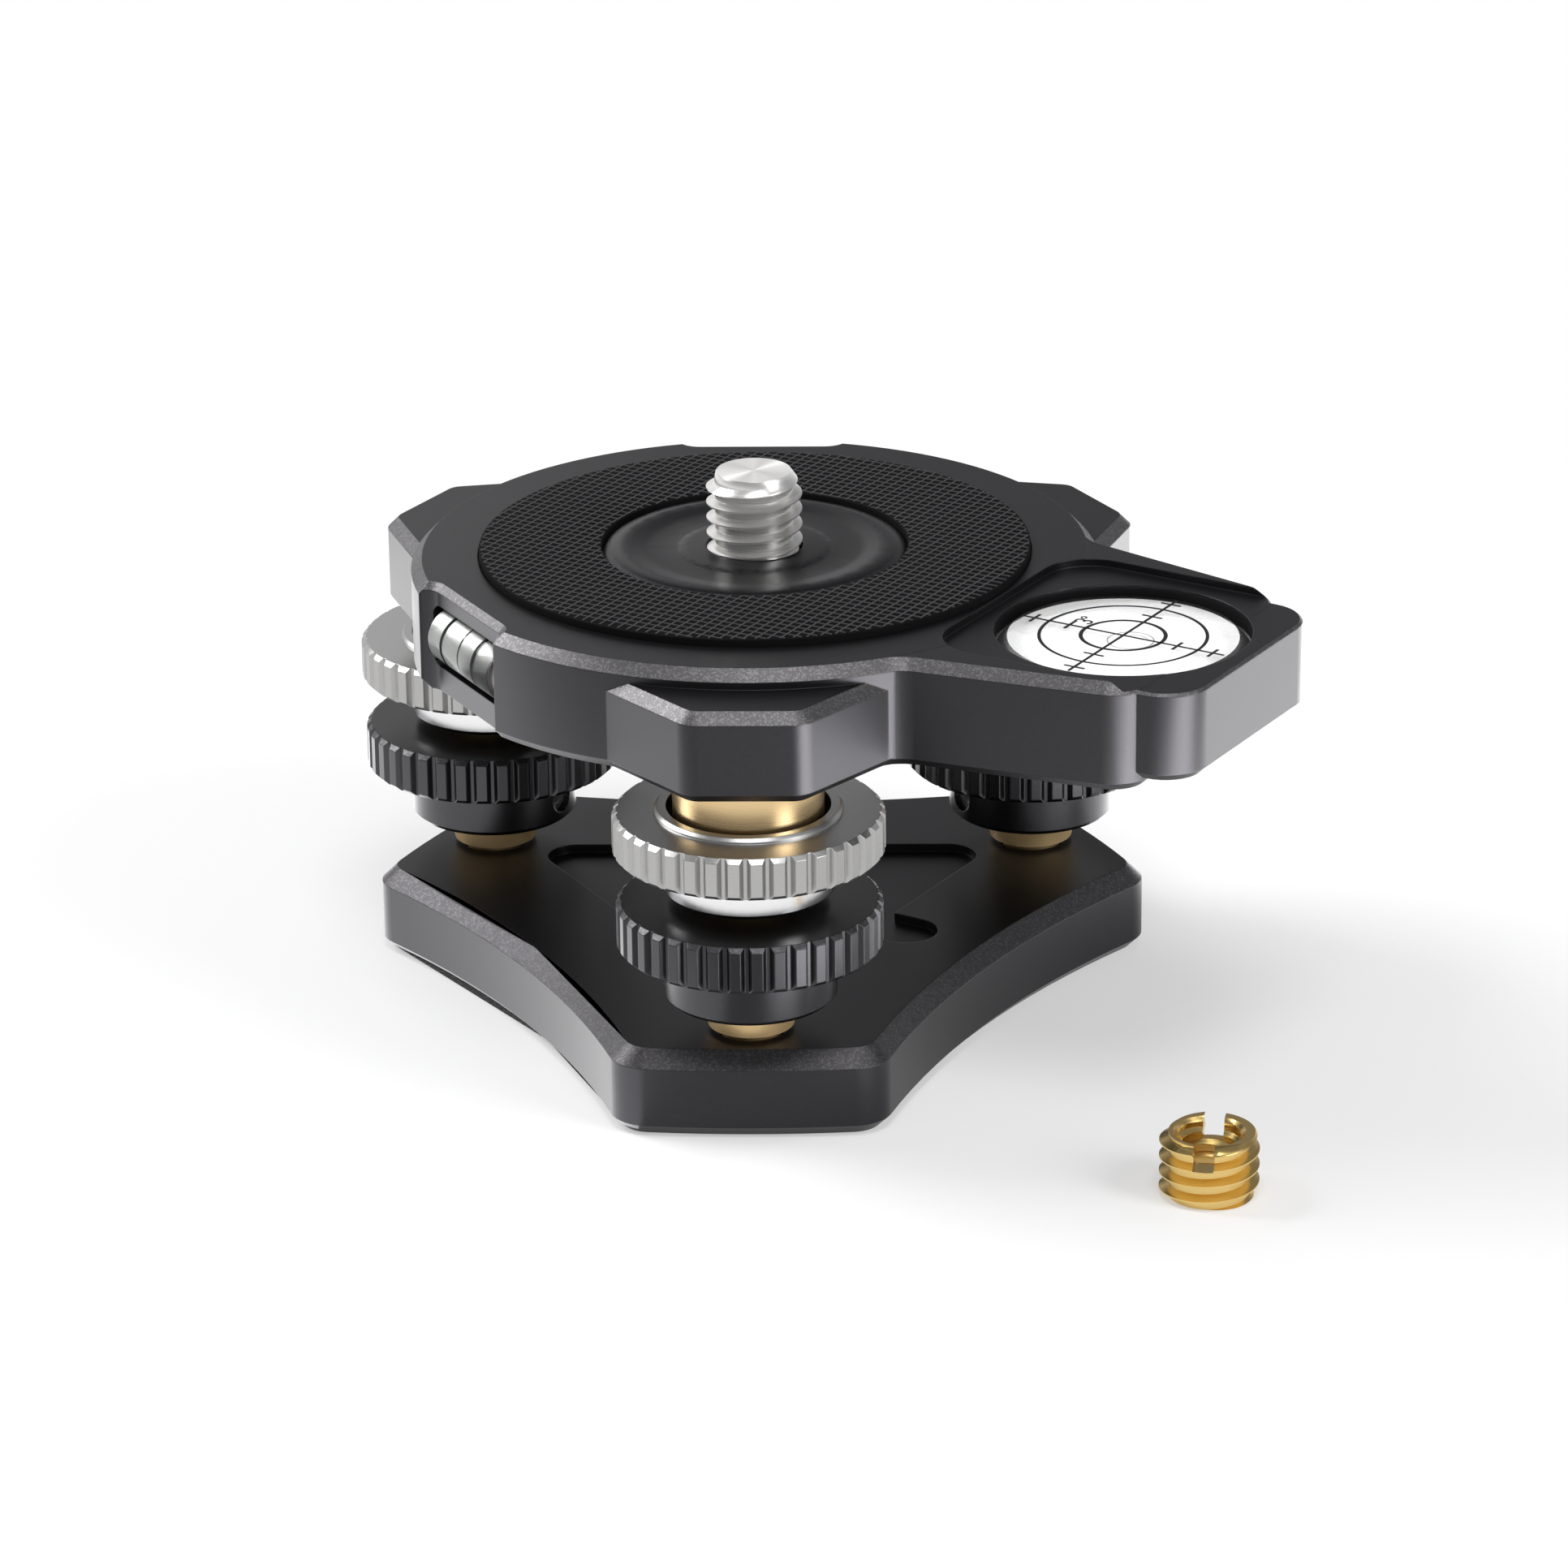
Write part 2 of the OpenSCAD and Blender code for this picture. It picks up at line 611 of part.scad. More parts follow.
module guide_sleeve(a) {
    color(BRASS) at_leg(a) difference() {
        union() {
            puck(sleeve_thread_d / 2, sleeve_z, sleeve_thread_z, 0, rim_bevel);
            puck(sleeve_d / 2, sleeve_thread_z, plate_z, 0, rim_bevel);
            translate([0, 0, plate_z]) cylinder(h = sleeve_spigot_len, r = sleeve_spigot_d / 2);
        }
        bore(sleeve_bore_d / 2, sleeve_z, sleeve_top_z);
    }
}

module lock_wheel(a) {
    color(SILVER) at_leg(a) difference() {
        union() {
            puck(lock_hub_d / 2, lock_z, lock_rim_z, 0, rim_bevel);
            fluted_rim(lock_d, lock_rim_z, lock_top_z);
            puck(lock_collar_d / 2, lock_top_z, lock_collar_z, lock_collar_h * 0.6, 0);
        }
        bore(sleeve_thread_d / 2 + turn_clear, lock_z, lock_collar_z);
        bore(washer_seat_d / 2, lock_z - OVER, lock_thread_z - OVER);
        bore(lock_counterbore_d / 2, lock_thread_z + lock_thread_len + OVER, lock_collar_z);
    }
}

module lock_washer(a) {
    under = lock_z - washer_proud;
    color(NYLON) at_leg(a) tube(washer_d / 2, washer_bore_d / 2, under, under + washer_h);
}

module top_plate() {
    color(BLACK) difference() {
        union() {
            difference() {
                union() {
                    puck(plate_d / 2, plate_z, plate_top_z, plate_top_bevel, plate_under_bevel);
                    for (l = LEGS) rotate(l[1]) lobe();
                    rotate(ARM_ANGLE) arm();
                }
                rotate(ARM_ANGLE) arm_recess();
            }
            rotate(ARM_ANGLE) end_block();
        }
        rotate(ARM_ANGLE) translate([bullseye_reach, 0, 0])
            bore(bullseye_seat_r, bullseye_z + OVER, recess_z);
        for (t = TUBES) rotate(t[1]) tube_flat();
        for (l = LEGS) at_leg(l[1])
            bore(sleeve_spigot_d / 2 + seat_clear, plate_z, sleeve_top_z + end_clear - OVER);
        tube(pad_d / 2 + glue_clear, pad_hole_d / 2 - glue_clear, plate_top_z - pad_groove,
             plate_top_z + OVER);
        bore(stud_d / 2 + turn_clear, plate_z, plate_top_z);
        bore(stud_head_d / 2 + glue_clear, plate_z, plate_z + stud_head_h - OVER);
    }
}

// Rounded four-cornered block whose upright edges are bevelled pucks
module four_corners(near_x, near_half, far_x, far_half, r, z0, z1, top_bevel, under_bevel) {
    hull() for (s = [-1, 1]) {
        translate([near_x, s * (near_half - r), 0])
            puck(r, z0, z1, top_bevel, under_bevel, $fn = HULL_FN);
        translate([far_x - r, s * (far_half - r), 0])
            puck(r, z0, z1, top_bevel, under_bevel, $fn = HULL_FN);
    }
}

// Centre of the hollow between a wing's straight side and the round plate's edge
function hollow_root(tip_corner, tip_r, side_angle, root_r) =
    let (along = [-cos(side_angle), sin(side_angle)],
         start = tip_corner + (tip_r + root_r) * [sin(side_angle), cos(side_angle)], b = start * along,
         c = start * start - pow(plate_d / 2 - root_sink + root_r, 2))
    start + (-b - sqrt(b * b - c)) * along;

// Wing outline, drawn in by an inset: a rounded tip corner, a straight side and a hollow root, mirrored
function wing_outline(tip_corner, tip_r, side_angle, root_r, inset) =
    let (root = hollow_root(tip_corner, tip_r, side_angle, root_r),
         half = concat(arc_points(tip_corner, tip_r - inset, 0, 90 - side_angle, 8),
                       arc_points(root, root_r + inset, 270 - side_angle, angle_of(root) + 180, 8),
                       [plate_d / 3 * root / norm(root)]))
    concat(mirrored(half), half);

module wing(tip_corner, tip_r, side_angle, root_r, z0, z1, top_bevel, under_bevel) {
    loft([for (level = [[z0, under_bevel], [z0 + under_bevel, 0], [z1 - top_bevel, 0], [z1, top_bevel]])
        [level[0], wing_outline(tip_corner, tip_r, side_angle, root_r, level[1])]]);
}

module lobe() {
    tip = [lobe_reach - lobe_edge_r, lobe_face_w / 2 - lobe_edge_r];
    root = [sqrt(pow(plate_d / 2, 2) - pow(lobe_root_w / 2, 2)), lobe_root_w / 2];
    side_angle = acos(lobe_edge_r / norm(root - tip)) - atan2(tip[0] - root[0], root[1] - tip[1]);
    wing(tip, lobe_edge_r, side_angle, lobe_root_r, plate_z + join_step,
         lobe_top_z, plate_top_bevel, plate_under_bevel - 2 * join_step);
}

module arm() {
    tip_x = arm_reach - arm_edge_r;
    side_angle = atan2(arm_flare, tip_x - recess_inner);
    wing([tip_x, arm_tip_half_w - arm_edge_r], arm_edge_r, side_angle, arm_root_r, plate_z + 2 * join_step,
         plate_top_z - join_step / 2, plate_top_bevel - join_step, plate_under_bevel - 4 * join_step);
}

module end_block() {
    four_corners(bullseye_reach, block_half_w, block_reach, block_half_w, block_edge_r,
                 plate_z + block_rise, recess_z - join_step, block_bevel, plate_under_bevel - 6 * join_step);
}

module arm_recess() {
    length = block_reach - recess_inner + OVER;
    translate([recess_inner, 0, recess_z]) hull() {
        for (s = [-1, 1]) translate([recess_corner_r, s * (recess_half_w - recess_corner_r), 0])
            cylinder(h = plate_thick, r = recess_corner_r, $fn = HULL_FN);
        translate([length - OVER, -recess_half_w, 0]) cube([OVER, 2 * recess_half_w, plate_thick]);
    }
}

// Notch outline for a tube vial, let out by an offset: a flat floor with rounded ends
function notch_outline(offset) =
    let (far = plate_d / 2 + flat_end_r + OVER, half = flat_w / 2, centre = flat_reach + flat_end_r,
         r = flat_end_r + offset)
    concat([[far, -half - r], [far, half + r]], arc_points([centre, half], r, 90, 180, 8),
           arc_points([centre, -half], r, 180, 270, 8));

// Rectangle with rounded corners
function rounded(length, height, r) =
    let (x = length / 2 - r, y = height / 2 - r)
    concat(arc_points([x, y], r, 0, 90, 6), arc_points([-x, y], r, 90, 180, 6),
           arc_points([-x, -y], r, 180, 270, 6), arc_points([x, -y], r, 270, 360, 6));

// Notch in the plate's edge with a bevelled lip, and the slot for a tube vial behind it
module tube_flat() {
    loft([[plate_z - OVER, notch_outline(0)], [plate_top_z - flat_bevel, notch_outline(0)],
          [plate_top_z + OVER, notch_outline(flat_bevel + OVER)]]);
    back = tube_axis_reach - tube_d / 2 - glue_clear;
    translate([back, 0, tube_axis_z]) rotate([90, 0, 90]) linear_extrude(plate_d / 2 - back)
        polygon(rounded(tube_len + 2 * glue_clear, tube_slot_h, tube_slot_r));
}

module tube_vial(a) {
    color(CLEAR) rotate(a) translate([tube_axis_reach, 0, tube_axis_z]) rotate([90, 0, 0])
        puck(tube_d / 2, -tube_len / 2, tube_len / 2, rim_bevel, rim_bevel);
}

module grip_pad() {
    color(RUBBER) tube(pad_d / 2, pad_hole_d / 2, plate_top_z - pad_groove, plate_top_z + pad_proud);
}

module stud_seat() {
    edge_h = seat_floor_h / 2;
    color(BLACK) translate([0, 0, plate_top_z]) rotate_extrude() polygon([
        [stud_d / 2 + turn_clear, 0], [seat_d / 2, 0], [seat_d / 2, edge_h],
        [(seat_d * 2 + seat_crest_d) / 6, (edge_h + 2 * seat_crest_h) / 3],
        [seat_crest_d / 2, seat_crest_h], [seat_floor_d / 2, seat_floor_h], [seat_boss_d / 2, seat_floor_h],
        [seat_boss_d / 2 - rim_bevel / 2, (seat_floor_h + seat_boss_h) / 2],
        [stud_d / 2 + turn_clear, seat_boss_h]]);
}

module camera_stud() {
    color(STEEL) difference() {
        union() {
            thread_rings(stud_d, stud_pitch, stud_thread_z, plate_top_z + stud_rise,
                         THREAD_DEPTH * stud_pitch);
            translate([0, 0, plate_z + stud_head_h])
                cylinder(h = stud_thread_z - plate_z - stud_head_h, r = stud_shank_d / 2);
            puck(stud_head_d / 2, plate_z + end_clear, plate_z + stud_head_h, 0, rim_bevel);
        }
        translate([0, 0, plate_z - OVER]) cylinder(h = stud_head_h + OVER, r = stud_hex_d / 2, $fn = 6);
    }
}

module bullseye_body() {
    color(WHITE) rotate(ARM_ANGLE) translate([bullseye_reach, 0, 0]) {
        puck(bullseye_d / 2, bullseye_z, window_z - window_thick - window_skirt, 0, rim_bevel);
        puck(dial_d / 2, window_z - window_thick - window_skirt, window_z - window_thick, 0, 0);
    }
}

module bullseye_window() {
    color(CLEAR) rotate(ARM_ANGLE) translate([bullseye_reach, 0, 0]) difference() {
        puck(bullseye_d / 2, window_z - window_thick - window_skirt, window_z, window_bevel, 0);
        bore(dial_d / 2 + seat_clear, window_z - window_thick - window_skirt,
             window_z - window_thick - OVER);
    }
}

module thread_adapter() {
    bevel = THREAD_DEPTH * stud_pitch / 2;
    bore_r = adapter_bore_d / 2;
    color(BRASS) translate([adapter_x, -adapter_y, 0]) rotate(ADAPTER_ANGLE) difference() {
        thread_rings(stud_d, stud_pitch, 0, adapter_len, bevel);
        bore(bore_r, 0, adapter_len);
        translate([0, 0, adapter_len - adapter_mouth_bevel])
            cylinder(h = 2 * adapter_mouth_bevel, r1 = bore_r, r2 = bore_r + 2 * adapter_mouth_bevel);
        translate([-stud_d, -adapter_slot_w / 2, adapter_len - adapter_slot_depth])
            cube([2 * stud_d, adapter_slot_w, adapter_slot_depth + OVER]);
    }
}

base_plate();
socket_bush();
top_plate();
grip_pad();
stud_seat();
camera_stud();
bullseye_body();
bullseye_window();
thread_adapter();
for (t = TUBES) tube_vial(t[1]);
for (l = LEGS) {
    ball_retainer(l[1]);
    ball_liner(l[1]);
    swivel_ball(l[1]);
    leveling_screw(l[1]);
    journal_clip(l[1]);
    adjust_wheel(l[1]);
    grub_screw(l[1]);
    guide_sleeve(l[1]);
    lock_wheel(l[1]);
    lock_washer(l[1]);
}
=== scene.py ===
"""Looks of a three-wheel leveling base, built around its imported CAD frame."""

import math

import bmesh
import bpy
from mathutils import Matrix, Vector


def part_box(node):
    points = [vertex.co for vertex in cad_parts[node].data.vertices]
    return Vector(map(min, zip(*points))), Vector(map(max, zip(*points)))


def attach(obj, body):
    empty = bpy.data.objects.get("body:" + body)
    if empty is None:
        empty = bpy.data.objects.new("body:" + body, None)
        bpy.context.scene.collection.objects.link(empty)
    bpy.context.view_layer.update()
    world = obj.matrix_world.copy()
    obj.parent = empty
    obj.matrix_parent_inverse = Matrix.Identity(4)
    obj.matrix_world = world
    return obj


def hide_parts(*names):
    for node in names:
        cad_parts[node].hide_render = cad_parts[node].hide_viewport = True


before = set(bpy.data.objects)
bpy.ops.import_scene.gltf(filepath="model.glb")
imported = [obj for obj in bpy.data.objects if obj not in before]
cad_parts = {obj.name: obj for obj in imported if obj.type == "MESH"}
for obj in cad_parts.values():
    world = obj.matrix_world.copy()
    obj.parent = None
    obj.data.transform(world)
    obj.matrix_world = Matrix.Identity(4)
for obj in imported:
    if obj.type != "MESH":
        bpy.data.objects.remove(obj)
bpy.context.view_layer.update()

MM = 0.001

# Camera, fitted to the photograph, in degrees and millimetres
VIEW_AZIMUTH = 1.44
VIEW_ELEVATION = 21.93
VIEW_ROLL = -0.67
VIEW_DISTANCE = 679.45
VIEW_TARGET = Vector((2.63, 0, 21.14))
LENS = 154.92
SENSOR_WIDTH = 36

# Nearest and farthest that the camera sees, in metres
CLIP_START = 0.01
CLIP_END = 20


def show(obj):
    bpy.context.scene.collection.objects.link(obj)


def toward(azimuth, elevation):
    """The direction at an azimuth to the right of the front and an elevation, in degrees."""
    az = math.radians(azimuth)
    el = math.radians(elevation)
    return Vector((math.cos(el) * math.sin(az), -math.cos(el) * math.cos(az), math.sin(el)))


def add_camera():
    back = toward(VIEW_AZIMUTH, VIEW_ELEVATION)
    roll = math.radians(VIEW_ROLL)
    level_right = Vector((0, 0, 1)).cross(back).normalized()
    level_up = back.cross(level_right)
    right = math.cos(roll) * level_right + math.sin(roll) * level_up
    up = -math.sin(roll) * level_right + math.cos(roll) * level_up
    turn = Matrix((right, up, back)).transposed()
    data = bpy.data.cameras.new("camera")
    data.lens = LENS
    data.sensor_fit = "HORIZONTAL"
    data.sensor_width = SENSOR_WIDTH
    data.clip_start = CLIP_START
    data.clip_end = CLIP_END
    camera = bpy.data.objects.new("camera", data)
    camera.matrix_world = Matrix.Translation((VIEW_TARGET + VIEW_DISTANCE * back) * MM) @ turn.to_4x4()
    show(camera)
    bpy.context.scene.camera = camera


# Shader helpers
def new_material(name):
    """A material, with its node tree and its shader."""
    material = bpy.data.materials.new(name)
    material.use_nodes = True
    tree = material.node_tree
    return material, tree, tree.nodes["Principled BSDF"]


def set_inputs(node, **values):
    """Sets a node's inputs, given by socket name with spaces as underscores."""
    for name, value in values.items():
        node.inputs[name.replace("_", " ")].default_value = value


def add_node(tree, kind, **values):
    """A node with its properties, and its inputs given by socket name with spaces as underscores."""
    node = tree.nodes.new(kind)
    for name, value in values.items():
        if name.replace("_", " ") in node.inputs:
            set_inputs(node, **{name: value})
        else:
            setattr(node, name, value)
    return node


def math_node(tree, operation, first, second):
    """The result of an operation on two values, each a number or another node's output."""
    node = tree.nodes.new("ShaderNodeMath")
    node.operation = operation
    for index, value in enumerate((first, second)):
        if isinstance(value, (int, float)):
            node.inputs[index].default_value = value
        else:
            tree.links.new(value, node.inputs[index])
    return node.outputs[0]


def height_of_point(tree):
    """The upright coordinate of a point on the object."""
    place = tree.nodes.new("ShaderNodeTexCoord")
    split = tree.nodes.new("ShaderNodeSeparateXYZ")
    tree.links.new(place.outputs["Object"], split.inputs["Vector"])
    return split.outputs["Z"]


def new_group(name, inputs, outputs):
    """A group of nodes, with its own input and output nodes."""
    tree = bpy.data.node_groups.new(name, "ShaderNodeTree")
    for socket, value in inputs.items():
        item = tree.interface.new_socket(name=socket, in_out="INPUT", socket_type="NodeSocketFloat")
        item.default_value = value
    for socket, kind in outputs.items():
        tree.interface.new_socket(name=socket, in_out="OUTPUT", socket_type=kind)
    return tree, tree.nodes.new("NodeGroupInput"), tree.nodes.new("NodeGroupOutput")


SPECKS_PER_GRAIN = 0.7


def blasted_grain_group():
    """Fine blasting marks: a height, and a mask of small bright specks."""
    tree, given, result = new_group("blasted grain", {"Grain per metre": 6000.0},
                                    {"Height": "NodeSocketFloat", "Specks": "NodeSocketFloat"})
    scale = given.outputs["Grain per metre"]
    place = tree.nodes.new("ShaderNodeTexCoord")
    fine = add_node(tree, "ShaderNodeTexNoise", Detail=2.0, Roughness=0.6)
    tree.links.new(place.outputs["Object"], fine.inputs["Vector"])
    tree.links.new(scale, fine.inputs["Scale"])
    specks = add_node(tree, "ShaderNodeTexVoronoi")
    tree.links.new(place.outputs["Object"], specks.inputs["Vector"])
    tree.links.new(math_node(tree, "MULTIPLY", scale, SPECKS_PER_GRAIN), specks.inputs["Scale"])
    pick = add_node(tree, "ShaderNodeMapRange", From_Min=0.55, From_Max=0.95)
    split = tree.nodes.new("ShaderNodeSeparateColor")
    tree.links.new(specks.outputs["Color"], split.inputs["Color"])
    tree.links.new(split.outputs["Red"], pick.inputs["Value"])
    tree.links.new(fine.outputs["Fac"], result.inputs["Height"])
    tree.links.new(pick.outputs["Result"], result.inputs["Specks"])
    return tree


def bevel_mask_group():
    """One on bevelled faces that slope up, none on flat tops and upright walls."""
    tree, given, result = new_group("bevel mask", {"Lowest slope": 0.45, "Highest slope": 0.93},
                                    {"Mask": "NodeSocketFloat"})
    shape = tree.nodes.new("ShaderNodeNewGeometry")
    split = tree.nodes.new("ShaderNodeSeparateXYZ")
    tree.links.new(shape.outputs["True Normal"], split.inputs["Vector"])
    above = math_node(tree, "GREATER_THAN", split.outputs["Z"], given.outputs["Lowest slope"])
    below = math_node(tree, "LESS_THAN", split.outputs["Z"], given.outputs["Highest slope"])
    tree.links.new(math_node(tree, "MULTIPLY", above, below), result.inputs["Mask"])
    return tree


def turning_marks_group():
    """Fine rings left by a lathe, as a height, for a piece turned about an upright axis."""
    tree, given, result = new_group("turning marks", {"Marks per metre": 9000.0},
                                    {"Height": "NodeSocketFloat"})
    wander = add_node(tree, "ShaderNodeTexNoise", noise_dimensions="1D", Detail=1.0)
    tree.links.new(height_of_point(tree), wander.inputs["W"])
    tree.links.new(given.outputs["Marks per metre"], wander.inputs["Scale"])
    tree.links.new(wander.outputs["Fac"], result.inputs["Height"])
    return tree


def soft_edge_group():
    """Normals that break sharp edges by a small radius, so that they catch the light."""
    tree, given, result = new_group("soft edge", {"Edge radius": 0.00015}, {"Normal": "NodeSocketVector"})
    edge = add_node(tree, "ShaderNodeBevel", samples=6)
    tree.links.new(given.outputs["Edge radius"], edge.inputs["Radius"])
    tree.links.new(edge.outputs["Normal"], result.inputs["Normal"])
    return tree


BLASTED_GRAIN = blasted_grain_group()
BEVEL_MASK = bevel_mask_group()
TURNING_MARKS = turning_marks_group()
SOFT_EDGE = soft_edge_group()


def use_group(tree, group, **values):
    node = tree.nodes.new("ShaderNodeGroup")
    node.node_tree = group
    set_inputs(node, **values)
    return node


def add_bump(tree, shader, height, strength, distance, edge=None):
    """A fine relief on the surface, and broken edges where a radius in metres is given."""
    bump = add_node(tree, "ShaderNodeBump", Strength=strength, Distance=distance)
    tree.links.new(height, bump.inputs["Height"])
    if edge:
        soft = use_group(tree, SOFT_EDGE, Edge_radius=edge)
        tree.links.new(soft.outputs["Normal"], bump.inputs["Normal"])
    tree.links.new(bump.outputs["Normal"], shader.inputs["Normal"])


def shade(colour, share):
    """A darker or paler colour, with its alpha."""
    return tuple(min(share * c, 1) for c in colour) + (1,)


def mix_colours(tree, factor, first, second):
    """A mix of two colours, each a constant or another node's output."""
    mix = tree.nodes.new("ShaderNodeMix")
    mix.data_type = "RGBA"
    tree.links.new(factor, mix.inputs["Factor"])
    for socket, value in (("A", first), ("B", second)):
        target = [s for s in mix.inputs if s.name == socket and s.type == "RGBA"][0]
        if isinstance(value, tuple):
            target.default_value = value
        else:
            tree.links.new(value, target)
    return [s for s in mix.outputs if s.type == "RGBA"][0]


def mottled(tree, factor, colour, darkest, palest):
    """A colour that goes from a darker to a paler shade of itself with a value from 0 to 1."""
    return mix_colours(tree, factor, shade(colour, darkest), shade(colour, palest))


def spread(tree, value, low, high):
    """A value from 0 to 1 spread between two others."""
    span = add_node(tree, "ShaderNodeMapRange", To_Min=low, To_Max=high)
    tree.links.new(value, span.inputs["Value"])
    return span.outputs["Result"]


# Relief of blasted walls, and what a bevel adds in relief and in roughness
WALL_RELIEF = 0.2
BEVEL_RELIEF = 0.6
BEVEL_ROUGHER = 0.06

# Roughness of bare metal, on a wheel's rim and on its hub
RIM_ROUGHNESS = 0.3
HUB_ROUGHNESS = 0.2


def black_anodised(name, dark, bevel, roughness):
    """Blasted and anodised aluminium, with paler bevels that sparkle a little."""
    material, tree, shader = new_material(name)
    grain = use_group(tree, BLASTED_GRAIN, Grain_per_metre=9000.0)
    height = grain.outputs["Height"]
    bevelled = use_group(tree, BEVEL_MASK).outputs["Mask"]
    wall = mottled(tree, height, dark, darkest=0.8, palest=1.2)
    pale = mottled(tree, grain.outputs["Specks"], bevel, darkest=1, palest=1.7)
    tree.links.new(mix_colours(tree, bevelled, wall, pale), shader.inputs["Base Color"])
    set_inputs(shader, Metallic=0.9)
    wall_roughness = spread(tree, height, roughness - 0.06, roughness + 0.06)
    rougher = math_node(tree, "MULTIPLY", bevelled, BEVEL_ROUGHER)
    tree.links.new(math_node(tree, "ADD", wall_roughness, rougher), shader.inputs["Roughness"])
    lift = math_node(tree, "ADD", WALL_RELIEF, math_node(tree, "MULTIPLY", bevelled, BEVEL_RELIEF))
    relief = math_node(tree, "MULTIPLY", height, lift)
    add_bump(tree, shader, relief, strength=0.5, distance=0.00005, edge=0.00016)
    return material


def two_part_metal(name, rim, hub, border):
    """Bare metal: a satin rim, and below a height in metres a smoothly turned hub."""
    material, tree, shader = new_material(name)
    height = use_group(tree, BLASTED_GRAIN, Grain_per_metre=8000.0).outputs["Height"]
    below = math_node(tree, "LESS_THAN", height_of_point(tree), border)
    satin = mottled(tree, height, rim, darkest=0.85, palest=1.12)
    tree.links.new(mix_colours(tree, below, satin, shade(hub, 1)), shader.inputs["Base Color"])
    set_inputs(shader, Metallic=1)
    tree.links.new(spread(tree, below, RIM_ROUGHNESS, HUB_ROUGHNESS), shader.inputs["Roughness"])
    above = math_node(tree, "SUBTRACT", 1, below)
    relief = math_node(tree, "MULTIPLY", height, above)
    add_bump(tree, shader, relief, strength=0.3, distance=0.00004, edge=0.00012)
    return material


def blasted_metal(name, colour, roughness, grain, relief):
    """Metal with a fine blasted skin all over."""
    material, tree, shader = new_material(name)
    height = use_group(tree, BLASTED_GRAIN, Grain_per_metre=grain).outputs["Height"]
    tree.links.new(mottled(tree, height, colour, darkest=0.85, palest=1.12), shader.inputs["Base Color"])
    set_inputs(shader, Metallic=1)
    tree.links.new(spread(tree, height, roughness - 0.07, roughness + 0.07), shader.inputs["Roughness"])
    add_bump(tree, shader, height, strength=relief, distance=0.00005)
    return material


def turned_metal(name, colour, roughness, marks, relief, streaks=0.0, metallic=1.0):
    """Metal off the lathe; streaks above zero stretch the shine across the rings of a turned end."""
    material, tree, shader = new_material(name)
    if streaks:
        around = add_node(tree, "ShaderNodeTangent", direction_type="RADIAL", axis="Z")
        tree.links.new(around.outputs["Tangent"], shader.inputs["Tangent"])
        set_inputs(shader, Anisotropic=streaks, Anisotropic_Rotation=0.25)
    height = use_group(tree, TURNING_MARKS, Marks_per_metre=marks).outputs["Height"]
    tree.links.new(mottled(tree, height, colour, darkest=0.88, palest=1.08), shader.inputs["Base Color"])
    set_inputs(shader, Metallic=metallic)
    tree.links.new(spread(tree, height, roughness - 0.05, roughness + 0.07), shader.inputs["Roughness"])
    add_bump(tree, shader, height, strength=relief, distance=0.00002)
    return material


def moulded(name, colour, roughness, grain, relief, gloss=0.5):
    """Rubber or plastic with a fine moulded skin."""
    material, tree, shader = new_material(name)
    set_inputs(shader, Specular_IOR_Level=gloss)
    height = use_group(tree, BLASTED_GRAIN, Grain_per_metre=grain).outputs["Height"]
    tree.links.new(mottled(tree, height, colour, darkest=0.85, palest=1.15), shader.inputs["Base Color"])
    tree.links.new(spread(tree, height, roughness - 0.08, roughness + 0.08), shader.inputs["Roughness"])
    add_bump(tree, shader, height, strength=relief, distance=0.00004)
    return material


def clear_material(name, colour, index, roughness):
    """Glass or acrylic that lets the lamps' light through to what is behind it."""
    material, tree, shader = new_material(name)
    set_inputs(shader, Base_Color=shade(colour, 1), Roughness=roughness, IOR=index, Transmission_Weight=1)
    path = tree.nodes.new("ShaderNodeLightPath")
    see_through = tree.nodes.new("ShaderNodeBsdfTransparent")
    blend = tree.nodes.new("ShaderNodeMixShader")
    tree.links.new(path.outputs["Is Shadow Ray"], blend.inputs["Fac"])
    tree.links.new(shader.outputs["BSDF"], blend.inputs[1])
    tree.links.new(see_through.outputs["BSDF"], blend.inputs[2])
    tree.links.new(blend.outputs["Shader"], tree.nodes["Material Output"].inputs["Surface"])
    return material


# Height in metres where the lock wheel's rim ends and its hub begins
HUB_TOP = 0.02725

# Black metal
DEEP_BLACK = (0.025, 0.025, 0.027)
SOFT_BLACK = (0.034, 0.033, 0.036)
BLACK_BODY = black_anodised("black_body", SOFT_BLACK, bevel=(0.098, 0.095, 0.098), roughness=0.38)
# The base plate's copy has darker bevels than the top plate's: painted shade, where the plate above shades
# the base's bevels.
BLACK_BASE_PAINTED_SHADE = black_anodised("black_base_painted_shade", SOFT_BLACK, bevel=(0.055, 0.053, 0.056), roughness=0.38)
BLACK_WHEEL = black_anodised("black_wheel", DEEP_BLACK, bevel=(0.055, 0.053, 0.056), roughness=0.3)
BLACK_SEAT = black_anodised("black_seat", DEEP_BLACK, bevel=(0.04, 0.04, 0.042), roughness=0.3)

# Bright metal
BARE_ALUMINIUM = two_part_metal("bare_aluminium", (0.45, 0.447, 0.44), (0.86, 0.86, 0.86), HUB_TOP)
BRASS = turned_metal("turned_brass", (0.83, 0.61, 0.33), roughness=0.28, marks=9000.0, relief=0.12)
